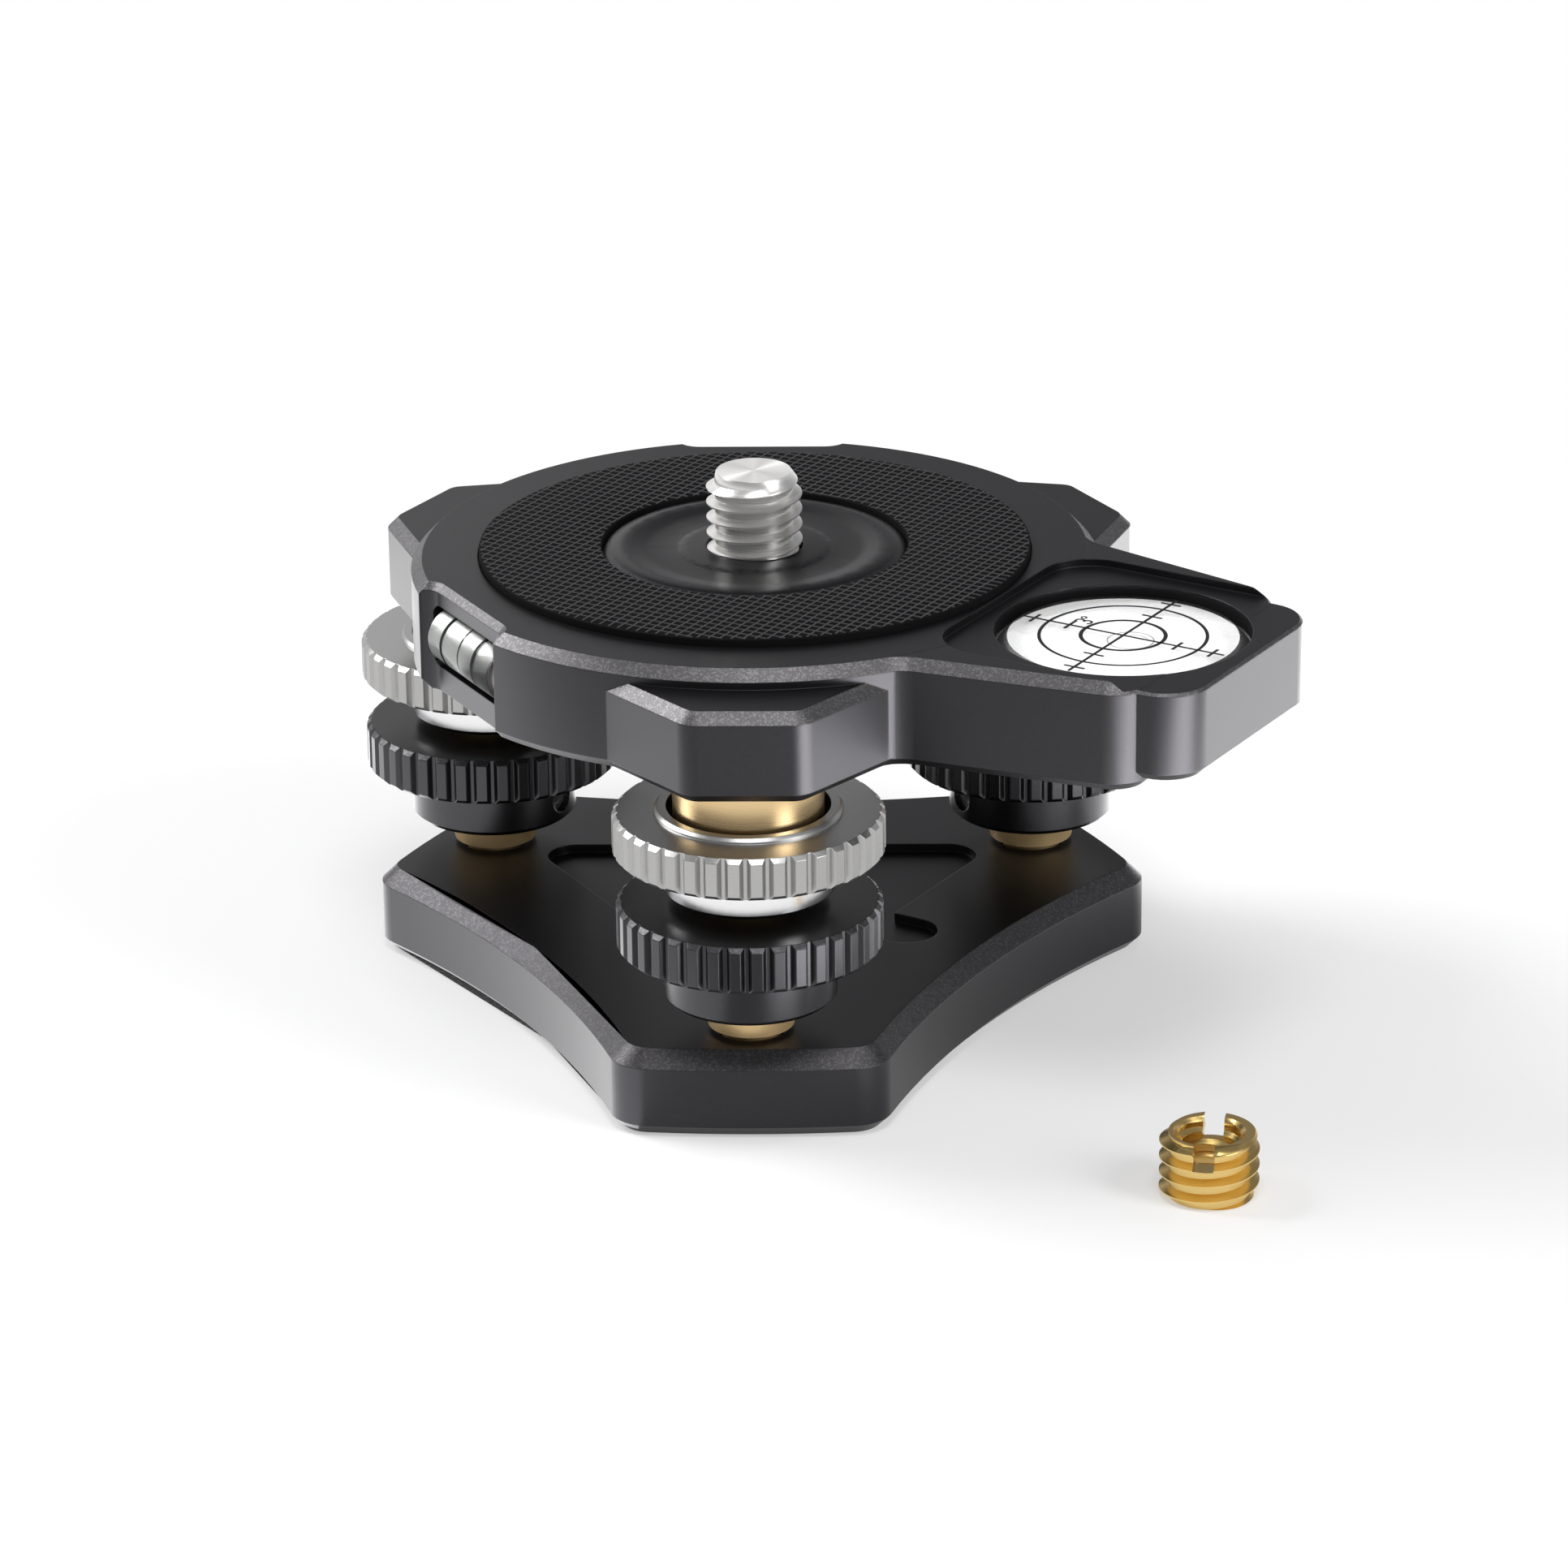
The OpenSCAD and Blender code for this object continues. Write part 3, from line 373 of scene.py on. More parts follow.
# The screw's neck takes a paler, half-diffuse copy of the brass: painted light, on a neck that lies in the
# wheel's shade.
NECK_BRASS_PAINTED_LIGHT = turned_metal("neck_brass_painted_light", (0.98, 0.68, 0.34), roughness=0.38, marks=9000.0, relief=0.1,
                          metallic=0.5)
ADAPTER_BRASS = turned_metal("adapter_brass", (0.8, 0.575, 0.215), roughness=0.24, marks=7000.0, relief=0.1)
BRONZE = turned_metal("ball_bronze", (0.5, 0.34, 0.17), roughness=0.28, marks=9000.0, relief=0.1)
STEEL = turned_metal("turned_steel", (0.86, 0.85, 0.83), roughness=0.29, marks=8000.0, relief=0.08,
                     metallic=0.9)
# The stud's turned end: its streaks follow the real turning rings, and its paler, half-diffuse copy of the
# steel is painted light on the top face.
STUD_TOP_PAINTED_LIGHT = turned_metal("stud_top_painted_light", (0.92, 0.91, 0.89), roughness=0.4, marks=8000.0, relief=0.05,
                        streaks=0.85, metallic=0.55)
VIAL_SILVER = blasted_metal("vial_silver", (0.34, 0.33, 0.325), roughness=0.42, grain=5000.0, relief=0.1)

# Rubber and plastic
RUBBER = moulded("pad_rubber", (0.004, 0.004, 0.0045), roughness=0.7, grain=5000.0, relief=0.4, gloss=0.06)
# The pad's ridges take a paler copy of its rubber: painted light on the ridges, against the near-black rubber
# between them.
RIDGE_RUBBER_PAINTED_LIGHT = moulded("ridge_rubber_painted_light", (0.06, 0.06, 0.062), roughness=0.6, grain=5000.0, relief=0.3,
                       gloss=0.1)
NYLON = moulded("washer_nylon", (0.75, 0.73, 0.67), roughness=0.45, grain=4000.0, relief=0.2)
DIAL_WHITE = moulded("dial_white", (0.86, 0.86, 0.85), roughness=0.5, grain=3000.0, relief=0.05)
DIAL_RIM = moulded("dial_rim", (0.1, 0.1, 0.102), roughness=0.4, grain=3000.0, relief=0.05)
DIAL_INK = moulded("dial_ink", (0.02, 0.02, 0.022), roughness=0.6, grain=3000.0, relief=0.05, gloss=0.1)
# The bubble's edge and shine are painted: a grey ring stands for the dark edge that the clear bubble shows,
# and a grey arc stands for its shine.
BUBBLE_PAINTED_EDGE_AND_SHINE = moulded("bubble_painted_edge_and_shine", (0.3, 0.305, 0.305), roughness=0.4, grain=3000.0, relief=0.05)
# The clear window's bevel takes a dark, glossy, opaque skin: its real gloss reflects the lamps, and its dark
# colour is a painted reflection for the dark that the clear bevel shows.
WINDOW_BEVEL_PAINTED_REFLECTION = moulded("window_bevel", (0.09, 0.09, 0.092), roughness=0.25, grain=3000.0, relief=0.05,
                       gloss=0.8)

# Clear pieces
ACRYLIC = clear_material("window_acrylic", (0.97, 0.98, 0.98), index=1.49, roughness=0.02)
VIAL_GLASS = clear_material("vial_glass", (0.93, 0.96, 0.95), index=1.3, roughness=0.12)

# Shape helpers, in millimetres
SAME_POINT = 0.0005
SAME_HEIGHT = 0.001
SHARP_ABOVE = 35


def lathe(bm, profile, steps=96, closed=False):
    """A line of (radius, height) points turned once about the upright axis."""
    verts = [bm.verts.new((r, 0, z)) for r, z in profile]
    pairs = list(zip(verts, verts[1:]))
    if closed:
        pairs.append((verts[-1], verts[0]))
    edges = [bm.edges.new(pair) for pair in pairs]
    bmesh.ops.spin(bm, geom=verts + edges, cent=(0, 0, 0), axis=(0, 0, 1), angle=2 * math.pi,
                   steps=steps, use_merge=True)
    bmesh.ops.remove_doubles(bm, verts=bm.verts, dist=SAME_POINT)


def block(bm, size, centre, turn):
    """A box of a size, turned about its upright axis by degrees and then moved."""
    place = Matrix.Translation(centre) @ Matrix.Rotation(math.radians(turn), 4, "Z")
    scale = Matrix.Diagonal((size[0], size[1], size[2], 1))
    return bmesh.ops.create_cube(bm, size=1, matrix=place @ scale)["verts"]


def ribbon(bm, centre, radius, width, low, high, start=0.0, sweep=360.0, steps=64):
    """A flat ring, or part of one, with upright sides."""
    a = math.radians(start)
    inner = radius - width / 2
    outer = radius + width / 2
    verts = []
    for r, z in ((inner, low), (outer, low), (outer, high), (inner, high)):
        verts.append(bm.verts.new((centre[0] + r * math.cos(a), centre[1] + r * math.sin(a), z)))
    edges = [bm.edges.new((verts[i], verts[(i + 1) % 4])) for i in range(4)]
    whole = sweep >= 360
    if not whole:
        bm.faces.new(verts)
    made = bmesh.ops.spin(bm, geom=verts + edges, cent=(centre[0], centre[1], 0), axis=(0, 0, 1),
                          angle=math.radians(sweep), steps=steps, use_merge=whole)
    if not whole:
        end = [e for e in made["geom_last"] if isinstance(e, bmesh.types.BMEdge)]
        bmesh.ops.contextual_create(bm, geom=end)


# One turn of a thread's outline: shares of the pitch, and of the depth below the crest
THREAD_SHAPE = ((-0.045, 0), (0.045, 0), (0.31, 1), (0.69, 1), (0.955, 0))


def thread(bm, radius, depth, pitch, low, high, crest_z, steps=72):
    """A right-hand screw surface with flat roots between two heights, open at both ends.

    One crest passes the height crest_z over the +X axis; a depth below zero makes an inside thread."""
    turns = math.ceil((high - low) / pitch) + 2
    start = crest_z - pitch * (math.ceil((crest_z - low) / pitch) + 1)
    verts = [bm.verts.new((radius - depth * d, 0, start + pitch * u)) for u, d in THREAD_SHAPE]
    edges = [bm.edges.new(pair) for pair in zip(verts, verts[1:])]
    bmesh.ops.spin(bm, geom=verts + edges, cent=(0, 0, 0), axis=(0, 0, 1), dvec=(0, 0, pitch / steps),
                   angle=2 * math.pi * turns, steps=steps * turns)
    bmesh.ops.remove_doubles(bm, verts=bm.verts, dist=SAME_POINT)
    for height, side in ((high, 1), (low, -1)):
        bmesh.ops.bisect_plane(bm, geom=bm.verts[:] + bm.edges[:] + bm.faces[:], dist=0.0001,
                               plane_co=(0, 0, height), plane_no=(0, 0, side), clear_outer=True)


def turn_down(bm, limit):
    """Brings every point inside the radius that a height allows, as a lathe tool does."""
    for v in bm.verts:
        r = math.hypot(v.co.x, v.co.y)
        most = limit(v.co.z)
        if r > most:
            v.co.x *= most / r
            v.co.y *= most / r


def bore_out(bm, limit):
    """Brings every point outside the radius that a height asks for."""
    for v in bm.verts:
        r = math.hypot(v.co.x, v.co.y)
        least = limit(v.co.z)
        if r < least:
            v.co.x *= least / r
            v.co.y *= least / r


def close_rim(bm, height):
    """Faces across the open rim at a height."""
    open_edges = [e for e in bm.edges if e.is_boundary]
    rim = [e for e in open_edges if all(abs(v.co.z - height) < SAME_HEIGHT for v in e.verts)]
    return bmesh.ops.contextual_create(bm, geom=rim)["faces"]


def join(bm, other):
    """Adds a second mesh to the first."""
    mesh = bpy.data.meshes.new("joined")
    other.to_mesh(mesh)
    other.free()
    bm.from_mesh(mesh)
    bpy.data.meshes.remove(mesh)


def carve(bm, cutter):
    """The first mesh with the second cut out of it."""
    made = []
    for shape in (bm, cutter):
        bmesh.ops.recalc_face_normals(shape, faces=shape.faces)
        mesh = bpy.data.meshes.new("carving")
        shape.to_mesh(mesh)
        shape.free()
        made.append(bpy.data.objects.new("carving", mesh))
        show(made[-1])
    cut = made[0].modifiers.new("cut", "BOOLEAN")
    cut.operation = "DIFFERENCE"
    cut.object = made[1]
    cut.solver = "EXACT"
    ready = made[0].evaluated_get(bpy.context.evaluated_depsgraph_get())
    result = bmesh.new()
    result.from_mesh(ready.to_mesh())
    ready.to_mesh_clear()
    for obj in made:
        mesh = obj.data
        bpy.data.objects.remove(obj)
        bpy.data.meshes.remove(mesh)
    return result


def piece(name, bm, materials, body, nodes, place=None):
    """A shown piece from a mesh in millimetres, moved to its place and riding on a body.

    It stands for the nodes that are named, if any."""
    bmesh.ops.remove_doubles(bm, verts=bm.verts, dist=SAME_POINT)
    bmesh.ops.recalc_face_normals(bm, faces=bm.faces)
    bmesh.ops.transform(bm, matrix=Matrix.Scale(MM, 4) @ (place or Matrix()), verts=bm.verts)
    mesh = bpy.data.meshes.new(name)
    bm.to_mesh(mesh)
    bm.free()
    mesh.shade_smooth()
    mesh.set_sharp_from_angle(angle=math.radians(SHARP_ABOVE))
    for material in materials:
        mesh.materials.append(material)
    obj = bpy.data.objects.new(name, mesh)
    show(obj)
    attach(obj, body)
    if nodes:
        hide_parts(*nodes)


def box_mm(node):
    """A node's lowest and highest corners, in millimetres."""
    low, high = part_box(node)
    return Vector(low) / MM, Vector(high) / MM


# Camera stud: screw thread, shank and socket head
THREAD_R = 4.7625
THREAD_DEPTH = 0.86
THREAD_PITCH = 1.5875
STUD_CREST_Z = 49.0
STUD_TOP_R = 3.7
STUD_TOP_SLOPE = 0.7
STUD_RUN_IN = 0.6
SHANK_R = 4.4
SHANK_LAP = 0.05
HEAD_HEIGHT = 2.75
HEAD_CHAMFER = 0.45
HEAD_EDGE = 0.1
KEY_R = 2.9
KEY_LENGTH = 4.5


def make_stud():
    low, high = box_mm("camera_stud")
    seat_top = box_mm("stud_seat")[1].z
    start = seat_top - STUD_RUN_IN
    bm = bmesh.new()
    thread(bm, THREAD_R, THREAD_DEPTH, THREAD_PITCH, start, high.z, STUD_CREST_Z)
    turn_down(bm, lambda z: STUD_TOP_R + STUD_TOP_SLOPE * (high.z - z))
    top = close_rim(bm, high.z)
    close_rim(bm, start)
    # The top face takes the paler steel: painted light.
    for face in top:
        face.material_index = 1
    rest = bmesh.new()
    head_r = (high.x - low.x) / 2
    head_top = low.z + HEAD_HEIGHT
    shank_top = start + SHANK_LAP
    lathe(rest, ((0, low.z), (head_r - HEAD_CHAMFER, low.z), (head_r, low.z + HEAD_CHAMFER),
                 (head_r, head_top - HEAD_EDGE), (head_r - HEAD_EDGE, head_top), (SHANK_R, head_top),
                 (SHANK_R, shank_top), (0, shank_top)))
    key = bmesh.new()
    bmesh.ops.create_cone(key, cap_ends=True, segments=6, radius1=KEY_R, radius2=KEY_R, depth=KEY_LENGTH,
                          matrix=Matrix.Translation((0, 0, low.z)))
    join(bm, carve(rest, key))
    piece("stud_with_thread", bm, (STEEL, STUD_TOP_PAINTED_LIGHT), "platform", ("camera_stud",))


# Loose adapter: outside and inside threads, mouth and screwdriver slot
ADAPTER_CREST_Z = 1.52
TOP_CHAMFER = 0.43
TOP_SLOPE = 0.9
FOOT_CHAMFER = 0.5
FOOT_SLOPE = 1.1
BORE_R = 2.56
BORE_DEPTH = -0.5
BORE_PITCH = 1.27
BORE_CREST_Z = 0.9
BORE_OVERRUN = 0.4
BORE_STEPS = 48
MOUTH_R = 3.45
FOOT_MOUTH_R = 3.0
FOOT_MOUTH_SLOPE = 1.2
SLOT_SIZE = (12, 2.0, 4)
SLOT_DEPTH = 2.2
SLOT_TURN = 80


def make_adapter():
    corner, top = box_mm("thread_adapter")
    length = top.z
    bm = bmesh.new()
    thread(bm, THREAD_R, THREAD_DEPTH, THREAD_PITCH, 0, length, ADAPTER_CREST_Z)
    turn_down(bm, lambda z: min(THREAD_R - TOP_CHAMFER + TOP_SLOPE * (length - z),
                                THREAD_R - FOOT_CHAMFER + FOOT_SLOPE * z))
    bore = bmesh.new()
    bore_low = -BORE_OVERRUN
    bore_high = length + BORE_OVERRUN
    thread(bore, BORE_R, BORE_DEPTH, BORE_PITCH, bore_low, bore_high, BORE_CREST_Z, BORE_STEPS)
    bore_out(bore, lambda z: max(MOUTH_R - (length - z), FOOT_MOUTH_R - FOOT_MOUTH_SLOPE * z))
    for shape, low, high in ((bm, 0, length), (bore, bore_low, bore_high)):
        close_rim(shape, low)
        close_rim(shape, high)
    slot = bmesh.new()
    block(slot, SLOT_SIZE, (0, 0, length - SLOT_DEPTH + SLOT_SIZE[2] / 2), SLOT_TURN)
    place = Matrix.Translation(((corner.x + top.x) / 2, (corner.y + top.y) / 2, 0))
    piece("adapter_with_threads", carve(carve(bm, bore), slot), (ADAPTER_BRASS,), "adapter",
          ("thread_adapter",), place)


# Grip pad: ring with a raised square grid
PAD_BORE_R = 15.2
PAD_STEPS = 160
PAD_EDGE = 0.12
PAD_EDGE_MIDDLE = 0.04
GRID_STEP = 1.01
GRID_TURN = -29
GRID_SHIFT = 0.35
GRID_OUTER_MARGIN = 0.2
GRID_INNER_MARGIN = 0.15
GRID_SHORTEST = 0.3
RIDGE_WIDTH = 0.17
RIDGE_HEIGHT = 0.08
RIDGE_SINK = 0.05
RIDGE_TAPER = 0.3
CROSSING_STEP = 0.01


def grid_spans(across, near, far):
    """The stretches of a line that lie on the ring between two radii, at a distance from the middle."""
    last = math.sqrt(far ** 2 - across ** 2)
    first = math.sqrt(max(near ** 2 - across ** 2, 0))
    return ((-last, -first), (first, last)) if first else ((-last, last),)


def add_ridge(bm, span, across, turn, low, top):
    """A straight ridge with a narrower crown, on a line turned about the middle by radians."""
    first, last = span
    middle = (first + last) / 2
    centre = (middle * math.cos(turn) - across * math.sin(turn),
              middle * math.sin(turn) + across * math.cos(turn), (low + top) / 2)
    made = block(bm, (last - first, RIDGE_WIDTH, top - low), centre, math.degrees(turn))
    side = Vector((-math.sin(turn), math.cos(turn), 0))
    for v in made:
        if v.co.z > centre[2]:
            v.co -= RIDGE_TAPER * side * side.dot(v.co - Vector(centre))
    # The ridge's faces take the paler rubber: painted light.
    for face in {f for v in made for f in v.link_faces}:
        face.material_index = 1


def make_pad():
    low, high = box_mm("grip_pad")
    outer = high.x
    inner = PAD_BORE_R
    floor = high.z - RIDGE_HEIGHT
    reach = outer - GRID_OUTER_MARGIN
    count = int(outer / GRID_STEP)
    bm = bmesh.new()
    lathe(bm, ((inner, low.z), (outer, low.z), (outer, floor - PAD_EDGE),
               (outer - PAD_EDGE_MIDDLE, floor - PAD_EDGE_MIDDLE), (outer - PAD_EDGE, floor),
               (inner + PAD_EDGE, floor), (inner + PAD_EDGE_MIDDLE, floor - PAD_EDGE_MIDDLE),
               (inner, floor - PAD_EDGE)), PAD_STEPS, True)
    for family in (0, 1):
        top = high.z - CROSSING_STEP * family
        turn = math.radians(GRID_TURN + 90 * family)
        for k in range(-count, count + 1):
            across = (k + GRID_SHIFT) * GRID_STEP
            if abs(across) >= reach - GRID_SHORTEST:
                continue
            for span in grid_spans(across, inner + GRID_INNER_MARGIN, reach):
                add_ridge(bm, span, across, turn, floor - RIDGE_SINK, top)
    piece("pad_with_grid", bm, (RUBBER, RIDGE_RUBBER_PAINTED_LIGHT), "platform", ("grip_pad",))


# Bullseye level: white dial body, clear window, printed marks and bubble
ARM_ANGLE = -30
INK = 0.02
BODY_CHAMFER = 0.45
DIAL_BORDER = 1.0
DIAL_LIFT = 0.01
RIM_COLOUR_BORDER = 1.1
WINDOW_STEP = 0.98
BEVEL_BORDER = 1.2
BEVEL_DEPTH = 1.18

# The window's bevelled edge, as distances inward from its rim and below its top
WINDOW_EDGE = ((1.25, 0), (1.18, 0.03), (0.05, 1.13), (0, 1.2))

# Each printed ring's radius, width and number of steps, and the sizes of the lines and ticks
RING_SIZES = ((4.1, 0.4, 64), (8.12, 0.34, 96))
LINE_WIDTH = 0.32
LINE_BORDER = 1.45
TICK_LENGTH = 2.2
TICK_REACHES = (5.9, 9.75)
LINE_CROSSING = 0.002
TICK_CROSSING = 0.004


def make_bullseye():
    body_low, body_high = box_mm("bullseye_body")
    low, high = box_mm("bullseye_window")
    middle = (low + high) / 2
    r = (high.x - low.x) / 2
    at = Matrix.Translation((middle.x, middle.y, 0)) @ Matrix.Rotation(math.radians(ARM_ANGLE), 4, "Z")
    top = high.z - INK
    dial = body_high.z
    make_dial_body(r, body_low.z, low.z, dial + DIAL_LIFT, at)
    make_dial_window(r, low.z, dial, top, at)
    make_dial_marks(r, top, at)
    make_bubble(dial, at)


def make_dial_body(r, low, step, dial, at):
    body = bmesh.new()
    lathe(body, ((0, low), (r - BODY_CHAMFER, low), (r, low + BODY_CHAMFER), (r, step),
                 (r - DIAL_BORDER, step), (r - DIAL_BORDER, dial), (0, dial)))
    for face in body.faces:
        middle_r = face.calc_center_median().to_2d().length
        face.material_index = int(middle_r > r - RIM_COLOUR_BORDER)
    piece("dial_body", body, (DIAL_WHITE, DIAL_RIM), "platform", ("bullseye_body",), at)


def make_dial_window(r, low, dial, top, at):
    window = bmesh.new()
    edge = [(r - inward, top - down) for inward, down in WINDOW_EDGE]
    foot = [(r, low), (r - WINDOW_STEP, low), (r - WINDOW_STEP, dial), (0, dial)]
    lathe(window, [(0, top)] + edge + foot)
    for face in window.faces:
        middle = face.calc_center_median()
        on_bevel = r - BEVEL_BORDER < middle.to_2d().length and middle.z > top - BEVEL_DEPTH
        # Faces on the bevel take the dark skin: painted reflection.
        face.material_index = int(on_bevel)
    piece("dial_window", window, (ACRYLIC, WINDOW_BEVEL_PAINTED_REFLECTION), "platform", ("bullseye_window",), at)


def make_dial_marks(r, low, at):
    """Rings, crossed lines and ticks; where they cross, one lies a little lower than the other."""
    marks = bmesh.new()
    middle_z = low + INK / 2
    for radius, width, steps in RING_SIZES:
        ribbon(marks, (0, 0), radius, width, low, low + INK, steps=steps)
    for turn in (0, 90):
        block(marks, (2 * (r - LINE_BORDER), LINE_WIDTH, INK),
              (0, 0, middle_z - LINE_CROSSING * (turn > 0)), turn)
    for turn in (0, 90, 180, 270):
        around = Matrix.Rotation(math.radians(turn), 4, "Z")
        for reach in TICK_REACHES:
            block(marks, (LINE_WIDTH, TICK_LENGTH, INK),
                  around @ Vector((reach, 0, middle_z - TICK_CROSSING)), turn)
    add_three_degrees(marks, low)
    piece("dial_marks", marks, (DIAL_INK,), "platform", (), at)


# The dial's angle mark: two bowls of a numeral, each with a side step and a start angle, and a small ring
NUMERAL_AT = (-5.15, 1.45)
NUMERAL_BOWLS = ((0.41, -70), (-0.41, 0))
BOWL_R = 0.43
BOWL_STROKE = 0.25
BOWL_SWEEP = 250
BOWL_STEPS = 24
DEGREE_AT = (-0.5, 1.0)
DEGREE_R = 0.26
DEGREE_STROKE = 0.17
DEGREE_STEPS = 20
NUMERAL_CROSSING = 0.003


def add_three_degrees(bm, low):
    """The dial's angle mark, drawn from arcs and read from the arm's end."""
    x, y = NUMERAL_AT
    high = low + INK - NUMERAL_CROSSING
    for side, start in NUMERAL_BOWLS:
        ribbon(bm, (x + side, y), BOWL_R, BOWL_STROKE, low, high, start, BOWL_SWEEP, BOWL_STEPS)
    ribbon(bm, (x + DEGREE_AT[0], y + DEGREE_AT[1]), DEGREE_R, DEGREE_STROKE, low, high, steps=DEGREE_STEPS)


# The bubble's height above the dial, from its underside to its top
BUBBLE_LOW = 0.02
BUBBLE_HIGH = 0.05


def make_bubble(dial, at):
    """A thin grey ring, painted for the dark edge that the bubble shows, and a grey arc, painted for the
    shine in it.
    """
    bubble = bmesh.new()
    low = dial + BUBBLE_LOW
    high = dial + BUBBLE_HIGH
    ribbon(bubble, (0.5, 0.55), radius=2.2, width=0.14, low=low, high=high)
    ribbon(bubble, (0.7, 0.9), radius=1.2, width=0.1, low=low, high=high, start=20, sweep=120, steps=24)
    piece("bubble_outline", bubble, (BUBBLE_PAINTED_EDGE_AND_SHINE,), "platform", (), at)


# Tube levels: clear tube over a silvered core, with black lines and stepped end caps
TUBE_HALF = 7.2
TUBE_REACH = 30.2
TUBE_STEPS = 64
LINE_INSET = 0.19

# One end of the core and of the glass, as distances below the tube's skin and inward from its end
CORE_END = ((0.75, 0), (0.5, 0.25), (0.5, 0.7), (0.2, 0.75))
GLASS_END = ((0.19, 0.8), (0.12, 0.75), (0.02, 0.9))

# Each line's place along the tube, half its width and how far its top lies below the tube's skin
TUBE_LINES = ((-3.6, 0.15, 0), (3.1, 0.15, 0), (0, 0.04, 0.1))


def both_ends(r, points):
    """A tube's profile, from the points of one end and their mirror at the other."""
    first = [(r - depth, inward - TUBE_HALF) for depth, inward in points]
    last = [(r - depth, TUBE_HALF - inward) for depth, inward in reversed(points)]
    return first + last


def make_tube(node, angle):
    low, high = box_mm(node)
    height = (low.z + high.z) / 2
    r = (high.z - low.z) / 2
    at = (Matrix.Rotation(math.radians(angle), 4, "Z") @ Matrix.Translation((TUBE_REACH, 0, height))
          @ Matrix.Rotation(math.radians(-90), 4, "X"))
    core = bmesh.new()
    lathe(core, [(0, -TUBE_HALF)] + both_ends(r, CORE_END) + [(0, TUBE_HALF)], TUBE_STEPS)
    piece(node + "_core", core, (VIAL_SILVER,), "platform", (node,), at)
    shell = bmesh.new()
    lathe(shell, both_ends(r, GLASS_END), TUBE_STEPS, True)
    piece(node + "_glass", shell, (VIAL_GLASS,), "platform", (), at)
    lines = bmesh.new()
    inner = r - LINE_INSET
    for place, half_width, depth in TUBE_LINES:
        outer = r - depth
        near = place - half_width
        far = place + half_width
        lathe(lines, ((inner, near), (outer, near), (outer, far), (inner, far)), TUBE_STEPS, True)
    piece(node + "_lines", lines, (DIAL_INK,), "platform", (), at)


# CAD nodes that keep their own shape
SMOOTH_BELOW = 32
SEWN_WITHIN = 0.000001


def smooth_faces_group():
    """A modifier's nodes that shade the small faces of rounded corners as one smooth face."""
    tree = bpy.data.node_groups.new("smooth faces", "GeometryNodeTree")
    for side in ("INPUT", "OUTPUT"):
        tree.interface.new_socket(name="Geometry", in_out=side, socket_type="NodeSocketGeometry")
    given = tree.nodes.new("NodeGroupInput")
    result = tree.nodes.new("NodeGroupOutput")
    sewn = add_node(tree, "GeometryNodeMergeByDistance", Distance=SEWN_WITHIN)
    smooth = add_node(tree, "GeometryNodeSetShadeSmooth", domain="FACE", Shade_Smooth=True)
    sharp = add_node(tree, "GeometryNodeSetShadeSmooth", domain="EDGE", Shade_Smooth=False)
    angle = tree.nodes.new("GeometryNodeInputMeshEdgeAngle")
    steep = math_node(tree, "GREATER_THAN", angle.outputs["Unsigned Angle"], math.radians(SMOOTH_BELOW))
    tree.links.new(given.outputs["Geometry"], sewn.inputs["Geometry"])
    tree.links.new(sewn.outputs["Geometry"], smooth.inputs["Geometry"])
    tree.links.new(smooth.outputs["Geometry"], sharp.inputs["Geometry"])
    tree.links.new(steep, sharp.inputs["Selection"])
    tree.links.new(sharp.outputs["Geometry"], result.inputs["Geometry"])
    return tree


SMOOTH_FACES = smooth_faces_group()


def dress(node, material):
    """Gives a CAD node its material, smooth rounded corners and flat walls."""
    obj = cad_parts[node]
    slots = obj.data.materials
    slots.clear()
    slots.append(material)
    smooth = obj.modifiers.new("smooth faces", "NODES")
    smooth.node_group = SMOOTH_FACES
    flat = obj.modifiers.new("flat walls", "WEIGHTED_NORMAL")
    flat.keep_sharp = True


FINISHES = {
    "base_plate": BLACK_BASE_PAINTED_SHADE, "top_plate": BLACK_BODY, "stud_seat": BLACK_SEAT, "socket_bush": STEEL,
    "camera_stud": STEEL, "grip_pad": RUBBER, "bullseye_body": DIAL_WHITE, "bullseye_window": ACRYLIC,
    "thread_adapter": ADAPTER_BRASS, "tube_vial": VIAL_GLASS, "ball_retainer": BRASS,
    "ball_liner": NYLON, "swivel_ball": BRONZE, "leveling_screw": NECK_BRASS_PAINTED_LIGHT, "journal_clip": STEEL,
    "adjust_wheel": BLACK_WHEEL, "grub_screw": STEEL, "guide_sleeve": BRASS,
    "lock_wheel": BARE_ALUMINIUM, "lock_washer": NYLON}


def finish_of(node):
    return [material for kind, material in FINISHES.items() if node.startswith(kind)][0]


def dress_all():
    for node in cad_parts:
        dress(node, finish_of(node))


# Floor, world and lamps, in metres
FLOOR_HALF = 6.0
FLOOR_WHITE = (0.9, 0.9, 0.9, 1)

# Distances between which the floor turns plain white, and the share of white at the nearer one
GLOW_NEAR = 0.07
GLOW_FAR = 0.2
GLOW_LEAST = 0.4


